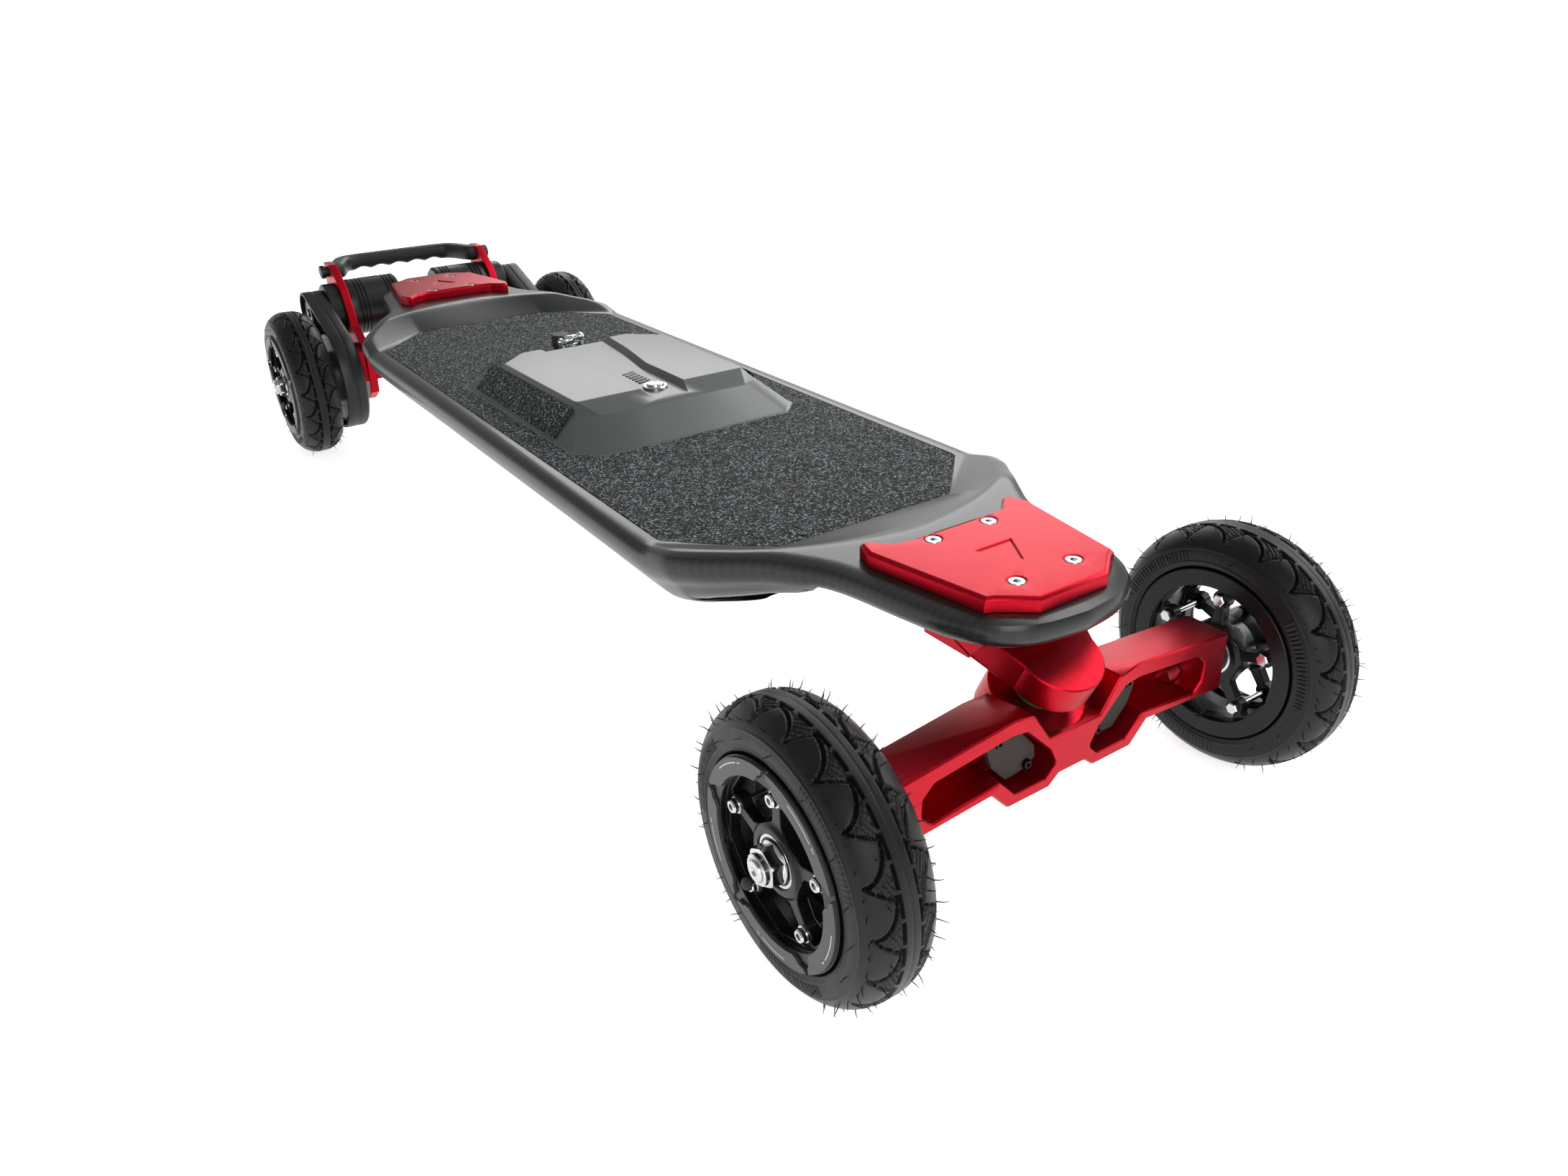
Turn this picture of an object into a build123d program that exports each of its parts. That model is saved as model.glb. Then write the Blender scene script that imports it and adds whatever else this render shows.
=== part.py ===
from build123d import *
import math
import os

# Electric skateboard: carbon monocoque deck, two steering trucks, four pneumatic wheels,
# twin belt drive at the tail. Millimetres, +X towards the nose, +Z up, ground at Z = 0.
os.makedirs("parts", exist_ok=True)

# ---- overall sizes ----
wheelbase = 970.0
track = 320.0
tyre_radius = 77.5
tyre_width = 43.8
fit_gap = 0.3
running_fit = 0.05

# ---- deck ----
platform_z = 148.0
deck_half_width = 134.5
riser_to_axle = 117.0
riser_run = 43.0
shoulder_run = 40.0
nose_rise = 15.0
nose_thickness = 17.0
nose_overhang = 22.0
belly_drop = 60.0
belly_half_width = 76.0
grip_margin = 15.5
grip_corner = 52.0
grip_thickness = 1.4
lid_thickness = 3.0
lid_screw_inset = 7.0
bay_end_wall = 23.0
bay_half_width = 84.0
bay_floor_thickness = 6.0
bay_step = 14.0

# ---- battery and controller ----
cell_radius = 10.5
cell_length = 70.0
cell_gap = 2.0
cells_across = 7
tray_margin = 40.0
tray_height = 15.0
controller_length = 120.0
controller_width = 100.0
controller_height = 28.0
cooling_fins = 9

# ---- hump ----
hump_front = 122.0
hump_back = -133.0
hump_half_width = 97.0
hump_height = 26.5
hump_wall = 2.5
channel_depth = 5.0
channel_half_width = 15.0
button_radius = 8.0
bezel_radius = 10.0
button_travel = 1.5
button_x = 55.0

# ---- truck ----
plate_thickness = 9.0
truck_screw_dx = 63.5
truck_screw_dy = 41.3
truck_screw_inset = 42.6
screw_radius = 2.5
screw_head_radius = 5.0
kingpin_radius = 5.0
kingpin_tilt = 25.0
kingpin_x = -4.0
tongue_drop = 34.0
tongue_radius = 25.0
tongue_thickness = 19.0
bushing_radius = 14.0
bushing_height = 11.0
washer_thickness = 1.5
hanger_front = 20.0
hanger_back = -24.0
front_hanger_gap = 35.0
rear_hanger_gap = 56.0
axle_radius = 6.0
axle_inset = 24.0
boss_height = 24.0
lower_bushing_height = 7.0
window_depth = 24.0
window_fillet = 3.0
insert_recess = 9.0
insert_thickness = 4.0
insert_screw_radius = 1.5

# ---- wheel ----
rim_radius = 54.0
bead_seat_radius = 49.0
flange_thickness = 3.0
wheel_bolt_circle = 36.0
bearing_radius = 14.0
bearing_width = 8.0
bearing_seat = 19.0
bearing_wall = 6.0
spokes = 5
spoke_width = 5.0
spoke_root_width = 7.0
spoke_fillet = 2.5
bolt_radius = 2.0
bolt_pad_radius = 5.5
nut_across = 19.0
nut_height = 9.0

# ---- belt drive ----
wheel_teeth = 60
motor_teeth = 16
tooth_pitch = 5.0
tooth_gap_radius = 1.2
belt_width = 15.0
belt_thickness = 3.0
belt_to_wheel = 42.0
belt_to_arm = 30.0
motor_dx = 64.0
motor_dz = 60.0
motor_radius = 31.5
motor_gap = 43.0
motor_boss_radius = 10.0
shaft_radius = 5.0
guard_wall = 3.0
guard_clearance = 4.0
arm_thickness = 9.0
handle_radius = 8.0
handle_reach = 122.0
handle_z = 177.5
handle_bend = 58.0
finger_grooves = 5
finger_pitch = 22.0

# ---- worked out ----
axle_x = wheelbase / 2
axle_z = tyre_radius
riser_end = axle_x - riser_to_axle
riser_start = riser_end - riser_run
platform_half = riser_start - shoulder_run
nose_reach = axle_x + nose_overhang
nose_top = platform_z + nose_rise
nose_bottom = nose_top - nose_thickness
grip_half_length = riser_start + 3.0
grip_half_width = deck_half_width - grip_margin
belly_half_length = platform_half + 5.0
bay_half_length = platform_half - bay_end_wall
belly_z = platform_z - belly_drop
tilt = math.radians(kingpin_tilt)
wheel_pulley_radius = wheel_teeth * tooth_pitch / math.pi / 2
motor_pulley_radius = motor_teeth * tooth_pitch / math.pi / 2
handle_back = axle_x + handle_reach + handle_radius
box_shift = (handle_back - axle_x - tyre_radius) / 2
wheel_y = track / 2
hub_half = tyre_width / 2 + 0.4
hub_boss_radius = bearing_radius + bearing_wall
hanger_half_front = wheel_y - front_hanger_gap
hanger_half_rear = wheel_y - rear_hanger_gap
belt_y = wheel_y - belt_to_wheel
arm_y = belt_y - belt_to_arm
arm_outer = arm_y + arm_thickness / 2
arm_inner = arm_y - arm_thickness / 2
motor_length = arm_inner - motor_gap / 2


def save(name, *solids):
    """Write the solids of one node, moved so that the origin is under the box's centre."""
    placed = [Pos(box_shift, 0, 0) * solid for piece in solids for solid in piece.solids()]
    group = Compound(children=placed)
    export_step(group, f"parts/{name}.step")


def mirrored(points):
    """A closed outline from its +Y half, listed from one end to the other."""
    return points + [(x, -y) for x, y in reversed(points)]


def prism(points, low, high):
    """Polygon in plan, between two heights."""
    return Pos(0, 0, low) * extrude(make_face(Polyline(*points, close=True)), high - low)


def side_prism(points, low_y, high_y):
    """Polygon in side view (x, z), between two Y values."""
    face = Plane.XZ * make_face(Polyline(*points, close=True))
    return Pos(0, high_y, 0) * extrude(face, high_y - low_y)


def front_prism(points, low_x, high_x):
    """Polygon in front view (y, z), between two X values."""
    face = Plane.YZ * make_face(Polyline(*points, close=True))
    return Pos(low_x, 0, 0) * extrude(face, high_x - low_x)


def rod(radius, start, direction, length):
    """Cylinder from a point along a direction."""
    return extrude(Plane(start, z_dir=direction) * Circle(radius), length)


def rod_y(radius, x, z, low_y, high_y):
    return rod(radius, (x, low_y, z), (0, 1, 0), high_y - low_y)


def hexagon(across, start, direction, length):
    face = Plane(start, z_dir=direction) * RegularPolygon(across / math.sqrt(3), 6)
    return extrude(face, length)


def socket_screw(radius, head_radius, head_height, start, direction, length):
    """Cap screw: head at start, shank along direction."""
    back = tuple(-head_height * d for d in direction)
    head_start = tuple(s + b for s, b in zip(start, back))
    head = rod(head_radius, head_start, direction, head_height)
    socket = rod(head_radius * 0.5, head_start, direction, head_height * 0.6)
    return head + rod(radius, start, direction, length) - socket


# ================= deck =================
def deck_outline(inset=0.0):
    """Plan of the board: straight platform, waisted necks, rounded nose and tail."""
    w = deck_half_width - inset
    neck = [
        (platform_half, w),
        (riser_start - 9, w - 6),
        (riser_end - 26, w - 24),
        (riser_end, w - 43),
        (riser_end + 32, w - 59),
        (axle_x - 45, w - 67),
        (axle_x - 15, w - 73),
        (nose_reach - 15, w - 89),
        (nose_reach - 2, w - 112),
    ]
    tip = (nose_reach - inset, 0)
    curve = Spline(*neck, tip, tangents=[(1, 0), (0, -1)])
    left = mirror(curve, Plane.XZ)
    front = curve + left
    back = mirror(front, Plane.YZ)
    straight = Line((-platform_half, w), (platform_half, w))
    edges = front.edges() + back.edges() + [straight, mirror(straight, Plane.XZ)]
    return make_face(edges)


def deck_side():
    """Side view of the double-drop board with its belly."""
    half = [
        (riser_start, platform_z),
        (riser_end, nose_top),
        (nose_reach + 5, nose_top - 1),
        (nose_reach + 5, nose_bottom + 3),
        (nose_reach - 12, nose_bottom),
        (riser_end - 15, nose_bottom),
        (belly_half_length, belly_z),
    ]
    return half + [(-x, z) for x, z in reversed(half)]


def grip_outline(inset=0.0):
    a = grip_half_length - inset
    b = grip_half_width - inset
    c = grip_corner - inset * 0.4
    return mirrored([(-a, b - c), (-a + c, b), (a - c, b), (a, b - c)])


body = Pos(0, 0, belly_z - 5) * extrude(deck_outline(), nose_top - belly_z + 10)
body &= side_prism(deck_side(), -deck_half_width - 5, deck_half_width + 5)
section = [
    (belly_half_width, belly_z - 1),
    (deck_half_width - 26, belly_z + 20),
    (deck_half_width - 7, platform_z - 22),
    (deck_half_width, platform_z - 10),
    (deck_half_width, platform_z - 4),
    (deck_half_width - 4, platform_z),
    (deck_half_width - 4, nose_top + 5),
]
section += [(-y, z) for y, z in reversed(section)]
body &= front_prism(section, -nose_reach - 10, nose_reach + 10)
lid_z = platform_z - lid_thickness
body -= prism(grip_outline(), lid_z, nose_top + 20)
bay_floor = belly_z + bay_floor_thickness
body -= prism(
    [
        (-bay_half_length, -bay_half_width),
        (bay_half_length, -bay_half_width),
        (bay_half_length, bay_half_width),
        (-bay_half_length, bay_half_width),
    ],
    bay_floor + bay_step,
    lid_z + 1,
)
narrow = belly_half_width - bay_floor_thickness
body -= prism(
    [
        (-bay_half_length, -narrow),
        (bay_half_length, -narrow),
        (bay_half_length, narrow),
        (-bay_half_length, narrow),
    ],
    bay_floor,
    bay_floor + bay_step + 1,
)

# lid screws: along both edges of the grip panel
lid_screw_y = grip_half_width - lid_screw_inset
lid_screw_x = platform_half - 30
lid_spots = [(x * lid_screw_x, s * lid_screw_y) for x in (-1, -1 / 3, 1 / 3, 1) for s in (-1, 1)]
lid_spots += [(s * (grip_half_length - 8), t * 45) for s in (-1, 1) for t in (-1, 1)]
lid_top = platform_z
lid = prism(grip_outline(fit_gap), lid_z, lid_top)
grip_top = lid_top + grip_thickness
grip = prism(grip_outline(fit_gap), lid_top, grip_top)
lid_screws = []
for x, y in lid_spots:
    lid_screws.append(socket_screw(1.5, 2.8, 1.2, (x, y, grip_top - 1.2 + 0.6), (0, 0, -1), 9.0))
    hole = rod(1.5, (x, y, lid_z - 9), (0, 0, 1), 20)
    recess = rod(2.8, (x, y, grip_top - 0.6), (0, 0, 1), 5)
    body -= hole
    lid -= hole
    grip -= hole + recess

# ================= hump =================
hump_base = lid_top
hump_top = hump_base + hump_height


def ring(front, shoulder_x, front_y, side_y, back_x, tail_x, tail_y, z):
    half = [
        (front, front_y),
        (shoulder_x, side_y),
        (back_x, side_y + 2),
        (tail_x, tail_y),
    ]
    return Plane((0, 0, z)) * make_face(Polyline(*mirrored(half), close=True))


def hump_body(inset, top_z):
    base = ring(hump_front - inset, 103 - inset, 78 - inset, hump_half_width - inset, -112 + inset,
                hump_back + inset, 66 - inset, hump_base)
    drop = hump_top - top_z
    shoulder = ring(88 - inset, 76 - inset, 64 - inset, hump_half_width - 17 - inset, -80 + inset,
                    -104 + inset, 53 - inset, hump_top - 7.5 - drop)
    top = ring(66 - inset, 63 - inset, 72 - inset, hump_half_width - 23 - inset, -70 + inset,
               -93 + inset, 50 - inset, hump_top - drop)
    return loft([base, shoulder], ruled=True) + loft([shoulder, top], ruled=True)


channel = mirrored([
    (100, channel_half_width),
    (5, channel_half_width),
    (-50, channel_half_width + 9),
    (-150, channel_half_width + 17),
])
channel_z = hump_top - channel_depth
channel_cut = Pos(0, 0, channel_z) * extrude(make_face(Polyline(*channel, close=True)), 9, taper=-35)
hump = hump_body(0, hump_top) - channel_cut
hump -= hump_body(4.0, hump_top - channel_depth - hump_wall)
button_hole = rod(bezel_radius - 2, (button_x, 0, hump_base + 2), (0, 0, 1), hump_height)
hump -= button_hole
led_count = 6
led_length = 13.0
led_width = 2.4
leds = []
for i in range(led_count):
    slot = Pos(8 + i * 5.6, 0, channel_z - hump_wall) * Rot(0, 0, 18) * Box(
        led_width, led_length, hump_wall, align=(Align.CENTER, Align.CENTER, Align.MIN))
    leds.append(slot)
    hump -= slot
grip -= prism(
    mirrored([(hump_front + fit_gap, 78 + fit_gap), (103 + fit_gap, hump_half_width + fit_gap),
              (-112 - fit_gap, hump_half_width + 2 + fit_gap), (hump_back - fit_gap, 66 + fit_gap)]),
    lid_top - 1, grip_top + 1)

# side grip pads: a thin sheet on each sloping side of the hump
pad_length = 160.0
pad_height = 26.0
pad_thickness = 1.0
pad_slope = math.atan2(hump_height, 23.0)


def side_pad(s):
    low = (0, s * (hump_half_width + 1.0), hump_base)
    plane = Plane(low, x_dir=(1, 0, 0), z_dir=(0, s * math.sin(pad_slope), math.cos(pad_slope)))
    return plane * Pos(-10, -s * 17, 0.65) * Box(pad_length, pad_height, pad_thickness)


pads = [side_pad(s) - hump for s in (-1, 1)]

# power button in its bezel
bezel_seat = channel_z
bezel = rod(bezel_radius, (button_x, 0, bezel_seat), (0, 0, 1), 1.6)
bezel += rod(bezel_radius - 2, (button_x, 0, bezel_seat - 14), (0, 0, 1), 14)
bezel -= rod(button_radius - 1 + running_fit, (button_x, 0, bezel_seat - 11), (0, 0, 1), 20)
button = rod(button_radius - 1, (button_x, 0, bezel_seat - 11 + button_travel + 0.3), (0, 0, 1), 12.5)

# over-centre latch at the back of the hump
latch_x = -120.0
latch_y = 18.0
latch_base_low = grip_top
latch_block = Pos(latch_x - 24, latch_y, latch_base_low + 4) * Box(20, 26, 8)
latch_ears = [
    Pos(latch_x - 24, latch_y + s * 9.5, latch_base_low + 11.5) * Box(10, 5, 15) for s in (-1, 1)
]
latch_base = latch_block + latch_ears[0] + latch_ears[1]
latch_axis_x = latch_x - 24
latch_axis_z = latch_base_low + 14
latch_base -= rod_y(2 + running_fit, latch_axis_x, latch_axis_z, latch_y - 20, latch_y + 20)
latch_lever = rod_y(2, latch_axis_x, latch_axis_z, latch_y - 13, latch_y + 13)
latch_lever += rod_y(5, latch_axis_x, latch_axis_z, latch_y - 6.5, latch_y + 6.5)
latch_lever += rod(2.2, (latch_axis_x + 3, latch_y, latch_axis_z + 2), (1, 0, 0.35), 17)
latch_lever += Pos(latch_axis_x + 22, latch_y, latch_axis_z + 8.5) * Sphere(4)
latch_knob = rod(9, (latch_x - 46, latch_y, latch_base_low), (0, 0, 1), 16)
latch_knob = chamfer(latch_knob.edges().sort_by(Axis.Z)[-1], 1.5)

# ================= inside the bay =================
tray_start = -bay_half_length + tray_margin
controller_x = bay_half_length - 32 - controller_length / 2
tray_room = controller_x - controller_length / 2 - 10 - tray_start
cell_rows = int((tray_room - 12) // (cell_length + cell_gap))
tray_end = tray_start + cell_rows * (cell_length + cell_gap) + 12
tray_half_width = cells_across * (cell_radius + 0.3) - 9.6
cells_z = bay_floor + tray_height + cell_radius
cells = []
for row in range(cell_rows):
    for column in range(cells_across):
        x = tray_start + 6 + row * (cell_length + cell_gap)
        y = (column - (cells_across - 1) / 2) * (2 * cell_radius + 0.6)
        cells.append(rod(cell_radius, (x, y, cells_z), (1, 0, 0), cell_length))
cell_tray = prism(
    mirrored([(tray_start, tray_half_width), (tray_end, tray_half_width)]),
    bay_floor, bay_floor + tray_height)
fin_pitch = controller_width / cooling_fins
controller = Pos(controller_x, 0, bay_floor + controller_height / 2) * Box(
    controller_length, controller_width, controller_height)
for i in range(cooling_fins):
    y = (i - (cooling_fins - 1) / 2) * fin_pitch
    controller -= Pos(controller_x, y, bay_floor + controller_height - 2) * Box(
        controller_length + 10, fin_pitch / 2, 8)

# ================= trucks =================
def axis_point(distance):
    """Point on the kingpin axis, measured from the underside of the tongue."""
    x = kingpin_x + distance * math.sin(tilt)
    z = nose_bottom - tongue_drop + distance * math.cos(tilt)
    return (x, 0, z)


kingpin_dir = (math.sin(tilt), 0, math.cos(tilt))


def on_axis(radius, low, high):
    return rod(radius, axis_point(low), kingpin_dir, high - low)


def truck_screw_spots():
    return [
        (-truck_screw_inset + sx * truck_screw_dx / 2, sy * truck_screw_dy / 2)
        for sx in (-1, 1) for sy in (-1, 1)
    ]


def top_plate():
    """Shield-shaped clamp plate with two horns and a hollow back edge."""
    half = [(10, 24), (-4, 42), (-6, 47), (-82, 60), (-95, 56), (-95, 51), (-84, 40), (-82, 30)]
    plate = prism(mirrored(half), nose_top, nose_top + plate_thickness)
    plate = chamfer(plate.faces().sort_by(Axis.Z)[-1].edges(), 2.0)
    star = RegularPolygon(15, 3)
    mark = Pos(-42, 0, nose_top + plate_thickness - 1.0) * extrude(star, 2)
    plate -= mark
    for x, y in truck_screw_spots():
        plate -= rod(screw_radius + 0.2, (x, y, 0), (0, 0, 1), 300)
        plate -= Pos(x, y, nose_top + plate_thickness - 2.9) * Cone(
            screw_radius + 0.2, screw_head_radius + 0.8, 3.0, align=(Align.CENTER, Align.CENTER, Align.MIN))
    return plate


base_plate_bottom = nose_bottom - 8.0
head_z = nose_top + plate_thickness - 0.4


def deck_screw(x, y):
    shank = rod(screw_radius, (x, y, base_plate_bottom - 6), (0, 0, 1), head_z - base_plate_bottom + 4)
    head = Pos(x, y, head_z - 2.5) * Cone(
        screw_radius, screw_head_radius, 2.5, align=(Align.CENTER, Align.CENTER, Align.MIN))
    socket = hexagon(3.2, (x, y, head_z - 2), (0, 0, 1), 4)
    return shank + head - socket


def baseplate():
    """Clamp pad under the deck, wedge, and the tongue that leans out over the hanger."""
    pad = prism(mirrored([(-2, 26), (-8, 35), (-84, 35), (-88, 30)]), base_plate_bottom, nose_bottom)
    tongue = on_axis(tongue_radius, 0, tongue_thickness)
    slab_plane = Plane(axis_point(0), x_dir=(math.cos(tilt), 0, -math.sin(tilt)), z_dir=kingpin_dir)
    slab_points = mirrored([(0, tongue_radius), (-26, 33), (-62, 33)])
    slab = extrude(slab_plane * make_face(Polyline(*slab_points, close=True)), tongue_thickness)
    wedge = side_prism(
        [(-8, nose_bottom), (-70, nose_bottom), (-66, nose_bottom - 25), (-30, nose_bottom - 25)], -33, 33)
    whole = pad + wedge + slab + tongue
    whole &= Pos(0, 0, nose_bottom - 200) * Box(400, 200, 200, align=(Align.CENTER, Align.CENTER, Align.MIN))
    whole -= on_axis(kingpin_radius, -5, tongue_thickness - 4)
    for x, y in truck_screw_spots():
        whole -= rod(screw_radius, (x, y, base_plate_bottom - 6), (0, 0, 1), 60)
    return whole


seat = -(washer_thickness + bushing_height + fit_gap)
boss_low = seat - boss_height


def kingpin_set():
    low = boss_low - fit_gap - lower_bushing_height - washer_thickness
    stud = on_axis(kingpin_radius, low - 10, tongue_thickness - 4)
    upper = on_axis(bushing_radius, -washer_thickness, 0) - on_axis(kingpin_radius, -5, 5)
    lower = on_axis(bushing_radius - 1, low, low + washer_thickness)
    lower -= on_axis(kingpin_radius, low - 5, low + 5)
    nut = hexagon(16, axis_point(low - 8), kingpin_dir, 8) - on_axis(kingpin_radius, low - 12, low + 5)
    return stud, upper, lower, nut


def bushings():
    top_low = seat + fit_gap
    upper = on_axis(bushing_radius, top_low, -washer_thickness) - on_axis(kingpin_radius, top_low - 5, 5)
    high = boss_low - fit_gap
    lower = on_axis(bushing_radius - 1, high - lower_bushing_height, high)
    lower -= on_axis(kingpin_radius, high - 20, high + 5)
    return upper, lower


def pivot_bush():
    ring_solid = on_axis(kingpin_radius + 3, boss_low, seat)
    return ring_solid - on_axis(kingpin_radius + running_fit, boss_low - 5, seat + 5)


def hanger_profile(half):
    foot = axle_z - 18
    return [
        (0, axle_z + 14),
        (19, axle_z + 14),
        (32, axle_z + 33),
        (46, axle_z + 36),
        (half, axle_z + 28),
        (half, axle_z - 9.5),
        (59, axle_z - 5),
        (47, foot),
        (17, foot),
        (10, axle_z - 12),
        (0, axle_z - 12),
    ]


def window_profile(half):
    """Opening in one wing, wider towards the middle."""
    end = half - 19
    return [
        (end - 6, axle_z - 3.5),
        (end, axle_z + 3),
        (end, axle_z + 14),
        (end - 7, axle_z + 21),
        (48, axle_z + 26.5),
        (37, axle_z + 25),
        (18, axle_z + 6),
        (13, axle_z - 4),
        (20, axle_z - 11),
        (42, axle_z - 11),
        (54, axle_z + 1.5),
    ]


def hanger_block(half):
    profile = hanger_profile(half)
    outline = profile + [(-y, z) for y, z in reversed(profile[1:-1])]
    block = front_prism(outline, hanger_back, hanger_front)
    side = [
        (hanger_back, axle_z - 19), (hanger_front, axle_z - 19), (hanger_front, axle_z + 37),
        (hanger_back, axle_z + 22),
    ]
    block &= side_prism(side, -half - 5, half + 5)
    plan = [(hanger_front + 1, half + 1), (-10, half + 1), (hanger_back, 42)]
    return block & prism(mirrored(plan), 0, 300)


def hanger(half):
    block = hanger_block(half)
    block += on_axis(tongue_radius + 3, boss_low, seat) & prism(
        mirrored([(hanger_front, 40), (hanger_back - 25, 40)]), 0, 300)
    block -= on_axis(tongue_radius + 3.0, seat, 60)
    block -= on_axis(bushing_radius + 3, boss_low - 40, boss_low)
    block -= on_axis(kingpin_radius + 3, boss_low - 40, seat + 5)
    for s in (-1, 1):
        points = [(s * y, z) for y, z in window_profile(half)]
        opening = front_prism(points, hanger_front - window_depth, hanger_front + 5)
        block -= fillet(opening.edges().filter_by(Axis.X), window_fillet)
        low, high = sorted((s * (half - axle_inset - 6), s * (half + 5)))
        block -= rod_y(axle_radius, 0, axle_z, low, high)
    return block


insert_front = hanger_front - insert_recess


def insert_outline(s):
    points = [(50, 24), (35, 22), (21, 6), (20, -2), (30, -7), (41, -8), (52, 4), (56, 16)]
    return [(s * y, axle_z + z) for y, z in points]


insert_screw_spots = [(49, 19), (27, -3)]


def inserts():
    plates = []
    screws = []
    for s in (-1, 1):
        plate = front_prism(insert_outline(s), insert_front - insert_thickness, insert_front)
        for y, z in insert_screw_spots:
            plate -= rod(insert_screw_radius, (insert_front - 20, s * y, axle_z + z), (1, 0, 0), 60)
            start = (insert_front, s * y, axle_z + z)
            reach = window_depth - insert_recess
            screws.append(socket_screw(insert_screw_radius, 2.7, 2.5, start, (-1, 0, 0), reach))
        plates.append(plate)
    return plates, screws


def axles(half):
    """Steel axle stubs screwed into each end of the hanger."""
    rods = []
    nuts = []
    end = wheel_y + hub_half + 8
    for s in (-1, 1):
        low, high = sorted((s * (half - axle_inset - 6), s * end))
        shaft = rod_y(axle_radius, 0, axle_z, low, high)
        spacer_low, spacer_high = sorted((s * half, s * (wheel_y - bearing_seat)))
        spacer = rod_y(axle_radius + 3, 0, axle_z, spacer_low, spacer_high)
        rods.append(shaft + spacer)
        nut_start = s * (wheel_y + bearing_seat + 0.2)
        nut = hexagon(nut_across, (0, nut_start, axle_z), (0, s, 0), nut_height)
        flange = rod(nut_across / 2 + 1.5, (0, nut_start, axle_z), (0, s, 0), 1.6)
        nuts.append(nut + flange - shaft)
    return rods, nuts


# ================= wheel =================
def revolve_y(points):
    """Turn a (radius, y) outline about the Y axis."""
    face = make_face(Polyline(*points, close=True))
    return revolve(face, Axis.Y)


def tyre():
    half = tyre_width / 2
    outer = [
        (bead_seat_radius + 0.2, half - 5.8),
        (rim_radius - 2, half - 4.2),
        (rim_radius + 0.4, half - 2.9),
        (rim_radius + 0.6, half - 1),
        (rim_radius + 6, half),
        (rim_radius + 12, half - 0.8),
        (tyre_radius - 6, half - 4),
        (tyre_radius - 2, half - 8.5),
        (tyre_radius - 0.4, 7),
        (tyre_radius, 3),
    ]
    inner = [
        (tyre_radius - 7, 0),
        (tyre_radius - 8, half - 10),
        (rim_radius + 8, half - 5),
        (bead_seat_radius + 5, half - 8),
        (bead_seat_radius + 0.2, half - 10),
    ]
    half_outline = outer + [(r, -y) for r, y in reversed(outer)]
    inner_outline = [(r, -y) for r, y in reversed(inner)] + inner[1:]
    return revolve_y(half_outline + inner_outline)


def rim_half(s):
    """One half of the split rim: flange, barrel, five spokes and bearing boss."""
    half = tyre_width / 2
    ring_points = [
        (rim_radius, hub_half),
        (rim_radius, half - 2.4),
        (rim_radius - 2.0, half - 3.6),
        (bead_seat_radius, half - 5.2),
        (bead_seat_radius, 0),
        (bead_seat_radius - 3, 0),
        (bead_seat_radius - 4, hub_half - 4),
        (bead_seat_radius - 5.5, hub_half),
    ]
    web = [
        (bead_seat_radius - 2, hub_half - 11),
        (bead_seat_radius - 2, hub_half - 4.5),
        (hub_boss_radius, hub_half - 4.5),
        (hub_boss_radius - 2.5, hub_half - 2.5),
        (bearing_radius, hub_half - 2.5),
        (bearing_radius, bearing_seat - bearing_width),
        (axle_radius + 2.5, bearing_seat - bearing_width),
        (axle_radius + 2.5, 0),
        (hub_boss_radius - 2, 0),
        (hub_boss_radius, hub_half - 11),
    ]
    rim = revolve_y(ring_points) + revolve_y(web)
    for i in range(spokes):
        middle = math.radians(90 + 360 / spokes * (i + 0.5))
        inner = hub_boss_radius + 1.5
        outer = bead_seat_radius - 6.0
        spread_in = math.pi / spokes - spoke_root_width / 2 / inner
        spread_out = math.pi / spokes - spoke_width / 2 / outer
        corners = [(inner, -spread_in), (outer, -spread_out), (outer + 1.5, 0)]
        corners += [(outer, spread_out), (inner, spread_in)]
        window = [(r * math.cos(middle + turn), r * math.sin(middle + turn)) for r, turn in corners]
        opening = side_prism(window, 1, 60)
        rim -= fillet(opening.edges().filter_by(Axis.Y), spoke_fillet)
    for x, z in bolt_spots():
        rim += rod_y(bolt_pad_radius, x, z, hub_half - 11, hub_half - 4.5)
    for x, z in bolt_spots():
        rim -= rod_y(bolt_radius, x, z, -1, 60)
    if s < 0:
        rim = Rot(0, 0, 180) * rim
        rim = mirror(rim, Plane.YZ)
    return rim


def bolt_spots():
    spots = []
    for i in range(spokes):
        angle = math.radians(90 + 360 / spokes * i)
        spots.append((wheel_bolt_circle * math.cos(angle), wheel_bolt_circle * math.sin(angle)))
    return spots


def wheel_hardware():
    pieces = []
    face = hub_half - 4.5
    for x, z in bolt_spots():
        pieces.append(socket_screw(bolt_radius, 3.6, 3.4, (x, face, z), (0, -1, 0), 2 * face))
        nut = hexagon(7, (x, -face - 3, z), (0, 1, 0), 3) - rod_y(bolt_radius, x, z, -face - 9, 0)
        pieces.append(nut)
    return pieces


def bearings():
    rings = []
    for s in (-1, 1):
        low, high = sorted((s * (bearing_seat - bearing_width), s * bearing_seat))
        race = rod_y(bearing_radius, 0, 0, low, high)
        rings.append(race - rod_y(axle_radius + running_fit, 0, 0, low - 1, high + 1))
    low, high = -(bearing_seat - bearing_width), bearing_seat - bearing_width
    sleeve = rod_y(axle_radius + 2, 0, 0, low, high)
    return rings + [sleeve - rod_y(axle_radius + running_fit, 0, 0, low - 1, high + 1)]


def put_truck(solid, end):
    """Local truck frame to the board: +1 is the nose end, -1 the tail end."""
    turned = solid if end > 0 else Rot(0, 0, 180) * solid
    return Pos(end * axle_x, 0, 0) * turned


def put_wheel(solid, end, side):
    turned = solid if side > 0 else Rot(0, 0, 180) * solid
    return Pos(end * axle_x, side * wheel_y, axle_z) * turned


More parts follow.
